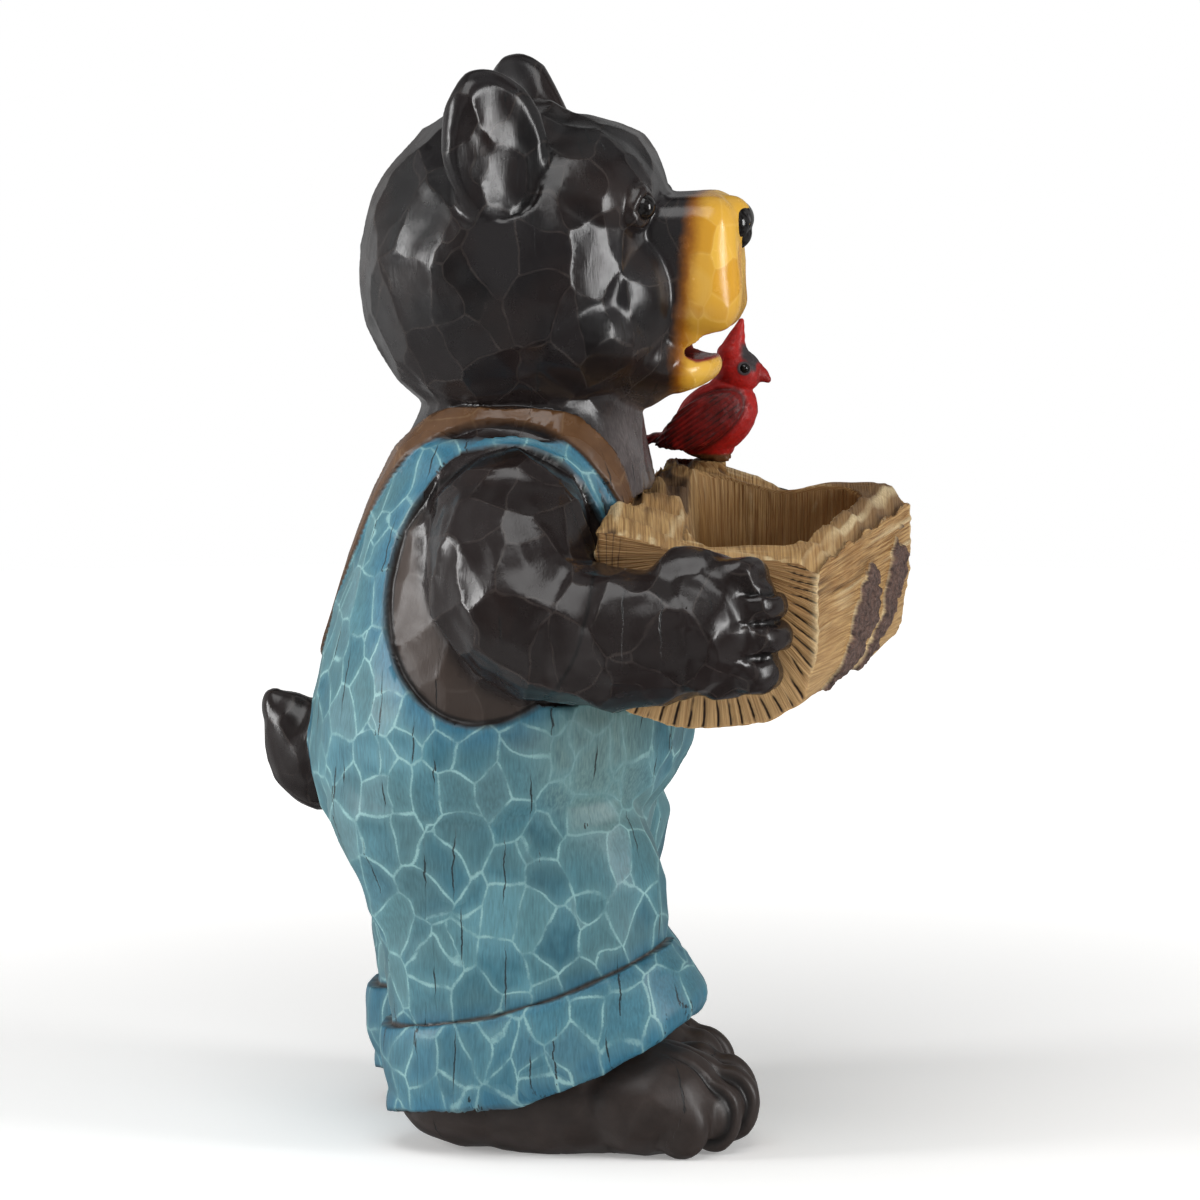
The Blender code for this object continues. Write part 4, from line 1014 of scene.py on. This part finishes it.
    calm = add(tree, "ShaderNodeMapRange", {0: wash, 1: 0.3, 2: 1.0, 3: 0.85, 4: 0.25})
    ridge = add(tree, "ShaderNodeMath", {0: line, 1: calm}, operation="MULTIPLY")
    teal = add(tree, "ShaderNodeMix", {0: ridge, 6: teal, 7: srgb("#92bcbd")}, 2, data_type="RGBA")
    # Painted shade: dark brown lines along the cloth's edges and along the hem's edges, where the raised
    # steps meet the surface below.
    garment_edge_shade = add(tree, "ShaderNodeMath", {0: part["cloth"]}, operation="ABSOLUTE")
    garment_edge_shade = add(tree, "ShaderNodeMapRange", {0: garment_edge_shade, 1: 2.6, 2: 0.4, 3: 0.0, 4: 0.75})
    hem_edge_shade = add(tree, "ShaderNodeMath", {0: part["hem"], 1: 0.8}, operation="ADD")
    hem_edge_shade = add(tree, "ShaderNodeMath", {0: hem_edge_shade}, operation="ABSOLUTE")
    hem_edge_shade = add(tree, "ShaderNodeMapRange", {0: hem_edge_shade, 1: 2.6, 2: 0.5, 3: 0.0, 4: 0.9})
    garment_edge_shade = add(tree, "ShaderNodeMath", {0: garment_edge_shade, 1: hem_edge_shade}, operation="MAXIMUM")
    teal = add(tree, "ShaderNodeMix", {0: garment_edge_shade, 6: teal, 7: srgb("#41352b")}, 2, data_type="RGBA")

    # Leather strap and golden muzzle.
    leather = add(tree, "ShaderNodeMix", {0: patchy, 6: srgb("#472e1c"), 7: srgb("#705033")}, 2,
                  data_type="RGBA")
    leather_worn = add(tree, "ShaderNodeMath", {0: fur_line, 1: 0.35}, operation="MULTIPLY")
    leather = add(tree, "ShaderNodeMix", {0: leather_worn, 6: leather, 7: srgb("#8f7455")}, 2,
                  data_type="RGBA")
    strap_edge = add(tree, "ShaderNodeMapRange", {0: part["strap"], 1: 2.2, 2: 0.2, 3: 0.0, 4: 0.75})
    leather = add(tree, "ShaderNodeMix", {0: strap_edge, 6: leather, 7: srgb("#2a1a10")}, 2, data_type="RGBA")
    cuts_place = chip_place(tree, rest, MUZZLE_CHIP)
    cuts = add(tree, "ShaderNodeTexVoronoi", {"Vector": cuts_place, "Scale": 1.0, "Randomness": 0.85}, None)
    cut_seams = add(tree, "ShaderNodeTexVoronoi", {"Vector": cuts_place, "Scale": 1.0, "Randomness": 0.85},
                    "Distance", feature="DISTANCE_TO_EDGE")
    cut_tone = add(tree, "ShaderNodeSeparateColor", {0: cuts.outputs["Color"]})
    gold = add(tree, "ShaderNodeMix", {0: cut_tone, 6: srgb("#cd9429"), 7: srgb("#e0b046")}, 2,
               data_type="RGBA")
    # Painted shade: the muzzle's underside, above the lip, is darkened to brown ochre.
    muzzle_underside_shade = add(tree, "ShaderNodeMapRange", {0: axes.outputs[2], 1: 0.480, 2: 0.452, 3: 0.0, 4: 0.55})
    lip = add(tree, "ShaderNodeMath", {0: axes.outputs[2], 1: 0.446}, operation="GREATER_THAN")
    muzzle_underside_shade = add(tree, "ShaderNodeMath", {0: muzzle_underside_shade, 1: lip}, operation="MULTIPLY")
    gold = add(tree, "ShaderNodeMix", {0: muzzle_underside_shade, 6: gold, 7: srgb("#9c6a1c")}, 2, data_type="RGBA")
    cut_line = add(tree, "ShaderNodeMapRange", {0: cut_seams, 1: 0.01, 2: 0.06, 3: 0.10, 4: 0.0})
    gold = add(tree, "ShaderNodeMix", {0: cut_line, 6: gold, 7: srgb("#f4d88e")}, 2, data_type="RGBA")
    # From black through burnt orange to gold over a finger's breadth of brushwork, ragged at its start.
    feather = add(tree, "ShaderNodeMapRange", {0: patchy, 1: 0.3, 2: 0.7, 3: -1.6, 4: 1.6})
    feathered = add(tree, "ShaderNodeMath", {0: part["gold"], 1: feather}, operation="ADD")
    burnt = add(tree, "ShaderNodeMapRange", {0: feathered, 1: 10.0, 2: 1.0}, interpolation_type="SMOOTHSTEP")
    gold = add(tree, "ShaderNodeMix", {0: burnt, 6: gold, 7: srgb("#8f5410")}, 2, data_type="RGBA")
    gold_in = add(tree, "ShaderNodeMapRange", {0: feathered, 1: -4.5, 2: 4.5},
                  interpolation_type="SMOOTHSTEP")

    # The painter's zones, one over the other.
    zones = add(tree, "ShaderNodeMix", {0: gold_in, 6: fur, 7: gold}, 2, data_type="RGBA")
    mouth_in = add(tree, "ShaderNodeMapRange", {0: part["mouth"], 1: -0.4, 2: 0.8})
    # Painted shade: the inside of the mouth darkens from red to near-black towards its back.
    mouth_back_shade = add(tree, "ShaderNodeMapRange", {0: axes.outputs[1], 1: -0.086, 2: -0.050})
    tongue = add(tree, "ShaderNodeMix", {0: mouth_back_shade, 6: srgb("#b0524a"), 7: srgb("#3a1614")}, 2,
                 data_type="RGBA")
    zones = add(tree, "ShaderNodeMix", {0: mouth_in, 6: zones, 7: tongue}, 2, data_type="RGBA")
    strap_in = add(tree, "ShaderNodeMapRange", {0: part["strap"], 1: -0.3, 2: 0.5})
    cloth_in = add(tree, "ShaderNodeMapRange", {0: part["cloth"], 1: -0.1, 2: 0.7})
    cloth_in = add(tree, "ShaderNodeMath", {0: cloth_in, 1: hem_in}, operation="MAXIMUM")
    zones = add(tree, "ShaderNodeMix", {0: cloth_in, 6: zones, 7: teal}, 2, data_type="RGBA")
    zones = add(tree, "ShaderNodeMix", {0: strap_in, 6: zones, 7: leather}, 2, data_type="RGBA")
    # Painted shade: a dark line in the crevice where the arm's recess meets the cloth.
    crevice_shade = add(tree, "ShaderNodeMath", {0: part["armhole"], 1: 0.9}, operation="ADD")
    crevice_shade = add(tree, "ShaderNodeMath", {0: crevice_shade}, operation="ABSOLUTE")
    crevice_shade = add(tree, "ShaderNodeMapRange", {0: crevice_shade, 1: 1.6, 2: 0.5, 3: 0.0, 4: 0.8})
    on_side = add(tree, "ShaderNodeMath", {0: axes.outputs[0]}, operation="ABSOLUTE")
    on_side = add(tree, "ShaderNodeMath", {0: on_side, 1: 0.062}, operation="GREATER_THAN")
    crevice_shade = add(tree, "ShaderNodeMath", {0: crevice_shade, 1: on_side}, operation="MULTIPLY")
    not_cloth = add(tree, "ShaderNodeMath", {0: 1.0, 1: cloth_in}, operation="SUBTRACT")
    crevice_shade = add(tree, "ShaderNodeMath", {0: crevice_shade, 1: not_cloth}, operation="MULTIPLY")
    zones = add(tree, "ShaderNodeMix", {0: crevice_shade, 6: zones, 7: srgb("#0d0b0b")}, 2, data_type="RGBA")

    # Drying checks: upright cracks 0.8 mm wide and up to 42 mm long, one to a cell of 30 by 50 mm.
    check_place = add(tree, "ShaderNodeVectorMath", {0: rest, 1: (1 / 0.030, 1 / 0.030, 1 / 0.050)},
                      operation="MULTIPLY")
    checks = add(tree, "ShaderNodeTexVoronoi", {"Vector": check_place, "Scale": 1.0, "Randomness": 0.9}, None)
    away = add(tree, "ShaderNodeVectorMath", {0: check_place, 1: checks.outputs["Position"]},
               operation="SUBTRACT")
    away = add(tree, "ShaderNodeVectorMath", {0: away, 1: (30.0, 30.0, 50.0)}, operation="MULTIPLY")
    normal = add(tree, "ShaderNodeNewGeometry", out="True Normal")
    level = add(tree, "ShaderNodeVectorMath", {0: normal, 1: (0.0, 0.0, 1.0)}, operation="CROSS_PRODUCT")
    level = add(tree, "ShaderNodeVectorMath", {0: level}, operation="NORMALIZE")
    sideways = add(tree, "ShaderNodeVectorMath", {0: away, 1: level}, "Value", operation="DOT_PRODUCT")
    jitter = add(tree, "ShaderNodeMapRange", {0: patchy, 1: 0.3, 2: 0.7, 3: -0.9, 4: 0.9})
    sideways = add(tree, "ShaderNodeMath", {0: sideways, 1: jitter}, operation="ADD")
    sideways = add(tree, "ShaderNodeMath", {0: sideways}, operation="ABSOLUTE")
    upward = add(tree, "ShaderNodeSeparateXYZ", {0: away}, 2)
    upward = add(tree, "ShaderNodeMath", {0: upward}, operation="ABSOLUTE")
    check_chance = add(tree, "ShaderNodeSeparateColor", {0: checks.outputs["Color"]}, None)
    reach = add(tree, "ShaderNodeMapRange", {0: check_chance.outputs[1], 1: 0.0, 2: 1.0, 3: 6.0, 4: 21.0})
    taper = add(tree, "ShaderNodeMath", {0: upward, 1: reach}, operation="DIVIDE")
    taper = add(tree, "ShaderNodeMapRange", {0: taper, 1: 0.4, 2: 1.0, 3: 0.42, 4: 0.0})
    crack = add(tree, "ShaderNodeMath", {0: taper, 1: sideways}, operation="SUBTRACT")
    crack = add(tree, "ShaderNodeMapRange", {0: crack, 1: -0.12, 2: 0.10})
    rarely = add(tree, "ShaderNodeMapRange", {0: cloth_in, 1: 0.0, 2: 1.0, 3: 0.66, 4: 0.20})
    shown = add(tree, "ShaderNodeMath", {0: check_chance.outputs[0], 1: rarely}, operation="GREATER_THAN")
    crack = add(tree, "ShaderNodeMath", {0: crack, 1: shown}, operation="MULTIPLY")
    no_gold = add(tree, "ShaderNodeMath", {0: 1.0, 1: gold_in}, operation="SUBTRACT")
    crack = add(tree, "ShaderNodeMath", {0: crack, 1: no_gold}, operation="MULTIPLY")
    crack_dark = add(tree, "ShaderNodeMath", {0: crack, 1: 0.88}, operation="MULTIPLY")
    zones = add(tree, "ShaderNodeMix", {0: crack_dark, 6: zones, 7: srgb("#17191a")}, 2, data_type="RGBA")
    tree.links.new(zones, shader.inputs["Base Color"])

    # Gloss: varnished fur and muzzle, duller cloth and feet, all a little streaked by the brush.
    gloss = add(tree, "ShaderNodeMapRange", {0: cloth_in, 1: 0.0, 2: 1.0, 3: 0.22, 4: 0.42})
    dull_feet = add(tree, "ShaderNodeMath", {0: part["feet"], 1: 0.20, 2: gloss}, operation="MULTIPLY_ADD")
    dull = add(tree, "ShaderNodeMath", {0: part["recess"], 1: 0.16, 2: dull_feet}, operation="MULTIPLY_ADD")
    streak = add(tree, "ShaderNodeMapRange", {0: patchy, 1: 0.3, 2: 0.7, 3: -0.04, 4: 0.08})
    dull = add(tree, "ShaderNodeMath", {0: dull, 1: streak}, operation="ADD")
    tree.links.new(dull, shader.inputs["Roughness"])
    relief = add(tree, "ShaderNodeMath", {0: bristle, 1: 0.22}, operation="MULTIPLY")
    relief = add(tree, "ShaderNodeMath", {0: speck, 1: 0.10, 2: relief}, operation="MULTIPLY_ADD")
    relief = add(tree, "ShaderNodeMath", {0: crack, 1: -1.6, 2: relief}, operation="MULTIPLY_ADD")
    bump = add(tree, "ShaderNodeBump", {"Strength": 0.55, "Distance": 0.0005, "Height": relief})
    tree.links.new(bump, shader.inputs["Normal"])
    return material


def enamel_paint():
    """Gloss enamel over resin: wet-looking black for the bear's nose and every eye."""
    material, tree, shader = paint("black_gloss_enamel", 0.12)
    place = add(tree, "ShaderNodeTexCoord", out="Object")
    uneven = add(tree, "ShaderNodeTexNoise", {"Vector": place, "Scale": 260.0, "Detail": 2.0})
    colour = add(tree, "ShaderNodeMix", {0: uneven, 6: srgb("#0b0a0a"), 7: srgb("#1b1817")}, 2,
                 data_type="RGBA")
    tree.links.new(colour, shader.inputs["Base Color"])
    rough = add(tree, "ShaderNodeMapRange", {0: uneven, 1: 0.3, 2: 0.7, 3: 0.08, 4: 0.2})
    tree.links.new(rough, shader.inputs["Roughness"])
    return material


def log_paint():
    """Cast resin painted as split pine: straw-coloured ridges over a dark brown wash in every groove."""
    material, tree, shader = paint("hand_painted_resin_log", 0.6)
    rest = add(tree, "ShaderNodeAttribute", out="Vector", attribute_name="rest")
    part = {name: add(tree, "ShaderNodeAttribute", out="Fac", attribute_name=name)
            for name in ("relief", "bark", "inside", "top", "end", "slit_wave", "slit_depth", "corner")}
    axes = add(tree, "ShaderNodeSeparateXYZ", {0: rest}, None)
    # Fibres run along the log, outward from the middle of each end, and upright inside the hollow.
    middle = add(tree, "ShaderNodeMath", {0: axes.outputs[0], 1: -25.0 / LOG_LENGTH, 2: -0.1005},
                 operation="MULTIPLY_ADD")
    from_middle = add(tree, "ShaderNodeMath", {0: axes.outputs[1], 1: middle}, operation="SUBTRACT")
    over = add(tree, "ShaderNodeMath", {0: axes.outputs[2], 1: -0.316}, operation="ADD")
    around = add(tree, "ShaderNodeMath", {0: over, 1: from_middle}, operation="ARCTAN2")
    around = add(tree, "ShaderNodeMath", {0: around, 1: 0.070}, operation="MULTIPLY")
    along = add(tree, "ShaderNodeCombineXYZ", {0: axes.outputs[0], 1: around, 2: 0.3})
    torn_y = add(tree, "ShaderNodeMath", {0: axes.outputs[0], 1: -0.12, 2: axes.outputs[1]},
                 operation="MULTIPLY_ADD")
    torn = add(tree, "ShaderNodeCombineXYZ", {0: axes.outputs[0], 1: torn_y, 2: 0.5})
    end_y = add(tree, "ShaderNodeMath", {0: axes.outputs[1], 1: -MM * END_CENTRE[0]}, operation="ADD")
    end_z = add(tree, "ShaderNodeMath", {0: axes.outputs[2], 1: -MM * END_CENTRE[1]}, operation="ADD")
    turn = add(tree, "ShaderNodeMath", {0: end_z, 1: end_y}, operation="ARCTAN2")
    turn = add(tree, "ShaderNodeMath", {0: turn, 1: 0.060}, operation="MULTIPLY")
    spoke = add(tree, "ShaderNodeCombineXYZ", {0: end_y, 1: end_z})
    spoke = add(tree, "ShaderNodeVectorMath", {0: spoke}, "Value", operation="LENGTH")
    across = add(tree, "ShaderNodeCombineXYZ", {0: spoke, 1: turn, 2: 0.1})
    bend = add(tree, "ShaderNodeMath", {0: axes.outputs[0], 1: 0.45}, operation="MULTIPLY")
    wall_y = add(tree, "ShaderNodeMath", {0: axes.outputs[1], 1: 0.110}, operation="ADD")
    wall = add(tree, "ShaderNodeMath", {0: wall_y, 1: bend}, operation="ARCTAN2")
    wall = add(tree, "ShaderNodeMath", {0: wall, 1: 0.060}, operation="MULTIPLY")
    upright = add(tree, "ShaderNodeCombineXYZ", {0: axes.outputs[2], 1: wall, 2: 0.7})
    run = along
    for zone, fibres in (("end", across), ("inside", upright), ("top", torn)):
        here = add(tree, "ShaderNodeMath", {0: part[zone], 1: 0.5}, operation="GREATER_THAN")
        run = add(tree, "ShaderNodeMix", {0: here, 4: run, 5: fibres}, 1, data_type="VECTOR")
    # Grain: fibres about 1.2 mm apart that run for 50 mm, and finer ones between them.
    coarse_place = add(tree, "ShaderNodeVectorMath", {0: run, 1: (20.0, 800.0, 40.0)}, operation="MULTIPLY")
    coarse = add(tree, "ShaderNodeTexNoise",
                 {"Vector": coarse_place, "Scale": 1.0, "Detail": 3.0, "Roughness": 0.55})
    fine_place = add(tree, "ShaderNodeVectorMath", {0: run, 1: (36.0, 1900.0, 40.0)}, operation="MULTIPLY")
    fine = add(tree, "ShaderNodeTexNoise", {"Vector": fine_place, "Scale": 1.0, "Detail": 2.0})
    cloud = add(tree, "ShaderNodeTexNoise", {"Vector": rest, "Scale": 26.0, "Detail": 3.0})
    speck = add(tree, "ShaderNodeTexNoise", {"Vector": rest, "Scale": 600.0, "Detail": 3.0})
    tone = add(tree, "ShaderNodeMapRange", {0: coarse, 1: 0.38, 2: 0.62})
    wood = add(tree, "ShaderNodeMix", {0: tone, 6: srgb("#825a29"), 7: srgb("#c6a068")}, 2, data_type="RGBA")
    patch = add(tree, "ShaderNodeMapRange", {0: cloud, 1: 0.38, 2: 0.66, 3: 0.0, 4: 0.5})
    wood = add(tree, "ShaderNodeMix", {0: patch, 6: wood, 7: srgb("#966830")}, 2, data_type="RGBA")
    tanned = add(tree, "ShaderNodeMath", {0: part["end"], 1: 0.35}, operation="MULTIPLY")
    wood = add(tree, "ShaderNodeMix", {0: tanned, 6: wood, 7: srgb("#82552a")}, 2, data_type="RGBA")
    thread = add(tree, "ShaderNodeMapRange", {0: fine, 1: 0.58, 2: 0.68, 3: 0.0, 4: 0.65})
    wood = add(tree, "ShaderNodeMix", {0: thread, 6: wood, 7: srgb("#5d3d1d")}, 2, data_type="RGBA")
    pale_top = add(tree, "ShaderNodeMath", {0: part["top"], 1: 0.25}, operation="MULTIPLY")
    wood = add(tree, "ShaderNodeMix", {0: pale_top, 6: wood, 7: srgb("#b3966a")}, 2, data_type="RGBA")
    # The front rim is browner towards the bear's left hand, and the whole log is paler towards its foot.
    browned = add(tree, "ShaderNodeMapRange", {0: axes.outputs[1], 1: -0.125, 2: -0.150, 3: 0.0, 4: 0.7})
    far = add(tree, "ShaderNodeMapRange", {0: axes.outputs[0], 1: -0.10, 2: 0.05})
    browned = add(tree, "ShaderNodeMath", {0: browned, 1: far}, operation="MULTIPLY")
    browned = add(tree, "ShaderNodeMath", {0: browned, 1: part["top"]}, operation="MULTIPLY")
    wood = add(tree, "ShaderNodeMix", {0: browned, 6: wood, 7: srgb("#5c4129")}, 2, data_type="RGBA")
    shade = add(tree, "ShaderNodeMapRange", {0: axes.outputs[1], 1: -0.085, 2: -0.150, 3: 0.10, 4: 0.75})
    shade = add(tree, "ShaderNodeMath", {0: shade, 1: part["inside"]}, operation="MULTIPLY")
    wood = add(tree, "ShaderNodeMix", {0: shade, 6: wood, 7: srgb("#7a4f22")}, 2, data_type="RGBA")
    lower = add(tree, "ShaderNodeMapRange", {0: axes.outputs[2], 1: 0.320, 2: 0.275, 3: 0.0, 4: 0.3})
    wood = add(tree, "ShaderNodeMix", {0: lower, 6: wood, 7: srgb("#cdac78")}, 2, data_type="RGBA")
    hollow = add(tree, "ShaderNodeMapRange", {0: part["relief"], 1: -0.3, 2: -1.6, 3: 0.0, 4: 0.8})
    wood = add(tree, "ShaderNodeMix", {0: hollow, 6: wood, 7: srgb("#3c2612")}, 2, data_type="RGBA")
    slit = add(tree, "ShaderNodeMath", {0: part["slit_wave"]}, operation="SINE")
    slit = add(tree, "ShaderNodeMapRange", {0: slit, 1: 0.80, 2: 0.97})
    slit = add(tree, "ShaderNodeMath", {0: slit, 1: part["slit_depth"]}, operation="MULTIPLY")
    wood = add(tree, "ShaderNodeMix", {0: slit, 6: wood, 7: srgb("#2c1a0b")}, 2, data_type="RGBA")
    crest = add(tree, "ShaderNodeMapRange", {0: part["relief"], 1: 0.25, 2: 0.95, 3: 0.0, 4: 1.0})
    crest = add(tree, "ShaderNodeMath", {0: crest, 1: part["corner"]}, operation="MAXIMUM")
    crest = add(tree, "ShaderNodeMath", {0: crest, 1: speck}, operation="MULTIPLY")
    wood = add(tree, "ShaderNodeMix", {0: crest, 6: wood, 7: srgb("#e6d3a8")}, 2, data_type="RGBA")
    flake = add(tree, "ShaderNodeTexVoronoi", {"Vector": rest, "Scale": 330.0}, "Distance")
    bark = add(tree, "ShaderNodeMix", {0: flake, 6: srgb("#765b50"), 7: srgb("#33231e")}, 2, data_type="RGBA")
    on_bark = add(tree, "ShaderNodeMapRange", {0: part["bark"], 1: 0.0, 2: 0.5})
    wood = add(tree, "ShaderNodeMix", {0: on_bark, 6: wood, 7: bark}, 2, data_type="RGBA")
    tree.links.new(wood, shader.inputs["Base Color"])
    rough = add(tree, "ShaderNodeMapRange", {0: coarse, 1: 0.3, 2: 0.7, 3: 0.72, 4: 0.5})
    tree.links.new(rough, shader.inputs["Roughness"])
    height = add(tree, "ShaderNodeMath", {0: fine, 1: 0.5, 2: coarse}, operation="MULTIPLY_ADD")
    lumps = add(tree, "ShaderNodeMath", {0: flake, 1: on_bark}, operation="MULTIPLY")
    height = add(tree, "ShaderNodeMath", {0: lumps, 1: -1.5, 2: height}, operation="MULTIPLY_ADD")
    bump = add(tree, "ShaderNodeBump", {"Strength": 0.85, "Distance": 0.0016, "Height": height})
    tree.links.new(bump, shader.inputs["Normal"])
    return material


def bird_paint():
    """Cast resin painted as plumage: scarlet breast, sooty streaks along the wing and a grey mask."""
    material, tree, shader = paint("hand_painted_resin_plumage", 0.45, 1.38)
    rest = add(tree, "ShaderNodeAttribute", out="Vector", attribute_name="rest")
    part = {name: add(tree, "ShaderNodeAttribute", out="Fac", attribute_name=name)
            for name in ("wing", "quills", "edge", "mask", "beak", "foot")}
    # Down: tufts about 1.5 mm across.
    down = add(tree, "ShaderNodeTexNoise", {"Vector": rest, "Scale": 420.0, "Detail": 3.0})
    cloud = add(tree, "ShaderNodeTexNoise", {"Vector": rest, "Scale": 90.0, "Detail": 2.0})
    red = add(tree, "ShaderNodeMix", {0: down, 6: srgb("#7d0c0a"), 7: srgb("#c4201a")}, 2, data_type="RGBA")
    sooty = add(tree, "ShaderNodeMapRange", {0: part["quills"], 1: 0.1, 2: 0.9, 3: 0.72, 4: 1.0})
    sooty = add(tree, "ShaderNodeMath", {0: sooty, 1: part["wing"]}, operation="MULTIPLY")
    uneven = add(tree, "ShaderNodeMapRange", {0: cloud, 1: 0.35, 2: 0.65, 3: 0.55, 4: 1.0})
    sooty = add(tree, "ShaderNodeMath", {0: sooty, 1: uneven}, operation="MULTIPLY")
    colour = add(tree, "ShaderNodeMix", {0: sooty, 6: red, 7: srgb("#230e0c")}, 2, data_type="RGBA")
    line = add(tree, "ShaderNodeMath", {0: part["edge"], 1: 0.8}, operation="MULTIPLY")
    colour = add(tree, "ShaderNodeMix", {0: line, 6: colour, 7: srgb("#240d0b")}, 2, data_type="RGBA")
    colour = add(tree, "ShaderNodeMix", {0: part["mask"], 6: colour, 7: srgb("#3a3436")}, 2, data_type="RGBA")
    colour = add(tree, "ShaderNodeMix", {0: part["beak"], 6: colour, 7: srgb("#8e1814")}, 2, data_type="RGBA")
    colour = add(tree, "ShaderNodeMix", {0: part["foot"], 6: colour, 7: srgb("#6b4526")}, 2, data_type="RGBA")
    tree.links.new(colour, shader.inputs["Base Color"])
    rough = add(tree, "ShaderNodeMapRange", {0: down, 1: 0.3, 2: 0.7, 3: 0.55, 4: 0.38})
    tree.links.new(rough, shader.inputs["Roughness"])
    bump = add(tree, "ShaderNodeBump", {"Strength": 0.5, "Distance": 0.0006, "Height": down})
    tree.links.new(bump, shader.inputs["Normal"])
    return material


def floor_paint():
    """Matt white studio paper, lit through from below towards its edge so that it stays white there."""
    material, tree, shader = paint("matt_white_paper", 0.9)
    place = add(tree, "ShaderNodeTexCoord", out="Object")
    pulp = add(tree, "ShaderNodeTexNoise", {"Vector": place, "Scale": 500.0, "Detail": 2.0})
    colour = add(tree, "ShaderNodeMix", {0: pulp, 6: srgb("#f6f5f4"), 7: srgb("#fbfbfa")}, 2,
                 data_type="RGBA")
    tree.links.new(colour, shader.inputs["Base Color"])
    tree.links.new(colour, shader.inputs["Emission Color"])
    away = add(tree, "ShaderNodeVectorMath", {0: place}, "Value", operation="LENGTH")
    lit = add(tree, "ShaderNodeMapRange", {0: away, 1: 0.35, 2: 1.3, 3: 0.25, 4: 0.85},
              interpolation_type="SMOOTHSTEP")
    tree.links.new(lit, shader.inputs["Emission Strength"])
    return material


# Setting out

def put(item, name, material, node=None):
    """Moves a finished form off the centre line, paints it and sets it on the frame."""
    points = read_points(item)[0]
    points[:, 1] += CENTRING
    write_points(item, points)
    item.name = name
    item.data.name = name
    item.data.materials.clear()
    item.data.materials.append(material)
    pick([item])
    bpy.ops.object.shade_smooth()
    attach(item, "root")
    if node:
        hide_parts(node)
    return item


enamel = enamel_paint()
put(carve_log(), "log_casting", log_paint(), "log_bowl")
put(carve_bear(), "bear_casting", bear_paint(), "bear")
put(bear_eyes(), "bear_eyes", enamel)
put(bear_nose(), "bear_nose", enamel)
put(carve_bird(), "cardinal_casting", bird_paint(), "cardinal")
put(bird_eyes(), "cardinal_eyes", enamel)


# Studio

deselect_all()
bpy.ops.mesh.primitive_circle_add(vertices=128, radius=2.6, fill_type="NGON", location=(0.0, 0.0, 0.0))
floor = bpy.context.object
floor.name = "studio_floor"
floor.data.materials.append(floor_paint())
floor.visible_glossy = False


def softbox(name, place, aim, width, height, brightness):
    """Area lamp of an even brightness, whatever its size."""
    lamp = bpy.data.lights.new(name, "AREA")
    lamp.shape = "RECTANGLE"
    lamp.size = width
    lamp.size_y = height
    lamp.energy = brightness * math.pi * width * height
    item = bpy.data.objects.new(name, lamp)
    item.location = place
    item.rotation_euler = (Vector(aim) - Vector(place)).to_track_quat("-Z", "Y").to_euler()
    bpy.context.scene.collection.objects.link(item)


HEART = (0.0, 0.0, 0.33)
softbox("softbox_behind", (-0.62, 1.68, 0.66), HEART, 0.42, 1.00, 12.5)
softbox("softbox_before", (-0.62, -1.68, 0.66), HEART, 0.42, 1.00, 12.5)
softbox("softbox_above", (-0.9, 0.1, 2.2), HEART, 1.5, 1.5, 3.1)

world = bpy.data.worlds.new("studio")
bpy.context.scene.world = world
world.use_nodes = True
sky = world.node_tree
background = next(node for node in sky.nodes if node.type == "BACKGROUND")
# White behind the object; the room around it is dim, with pale and dark walls for the chips to mirror.
seen = add(sky, "ShaderNodeLightPath", out="Is Camera Ray")
way = add(sky, "ShaderNodeTexCoord", out="Generated")
walls = add(sky, "ShaderNodeTexNoise", {"Vector": way, "Scale": 2.6, "Detail": 0.0})
room = add(sky, "ShaderNodeMapRange", {0: walls, 1: 0.38, 2: 0.62, 3: 0.03, 4: 0.36},
           interpolation_type="SMOOTHSTEP")
backward = add(sky, "ShaderNodeSeparateXYZ", {0: way}, 1)
backward = add(sky, "ShaderNodeMapRange", {0: backward, 1: 0.35, 2: 0.85, 3: 0.0, 4: 0.30})
room = add(sky, "ShaderNodeMath", {0: room, 1: backward}, operation="ADD")
glow = add(sky, "ShaderNodeMix", {0: seen, 2: room, 3: 1.0})
background.inputs["Color"].default_value = (1.0, 1.0, 1.0, 1.0)
sky.links.new(glow, background.inputs["Strength"])

# The photograph's standpoint: 4.2 m off the bear's right side, a little in front and above.
CAMERA_PLACE = (-4.1431, -0.4480, 0.8337)
CAMERA_AIM = (0.0, -0.0125, 0.3)
FOCAL_LENGTH = 223.8

lens = bpy.data.cameras.new("camera")
lens.lens = FOCAL_LENGTH
lens.sensor_width = 36.0
lens.clip_start = 0.5
lens.clip_end = 60.0
camera = bpy.data.objects.new("camera", lens)
camera.location = CAMERA_PLACE
camera.rotation_euler = (Vector(CAMERA_AIM) - camera.location).to_track_quat("-Z", "Y").to_euler()
bpy.context.scene.collection.objects.link(camera)
bpy.context.scene.camera = camera
bpy.context.scene.view_settings.view_transform = "Standard"

bpy.context.view_layer.update()
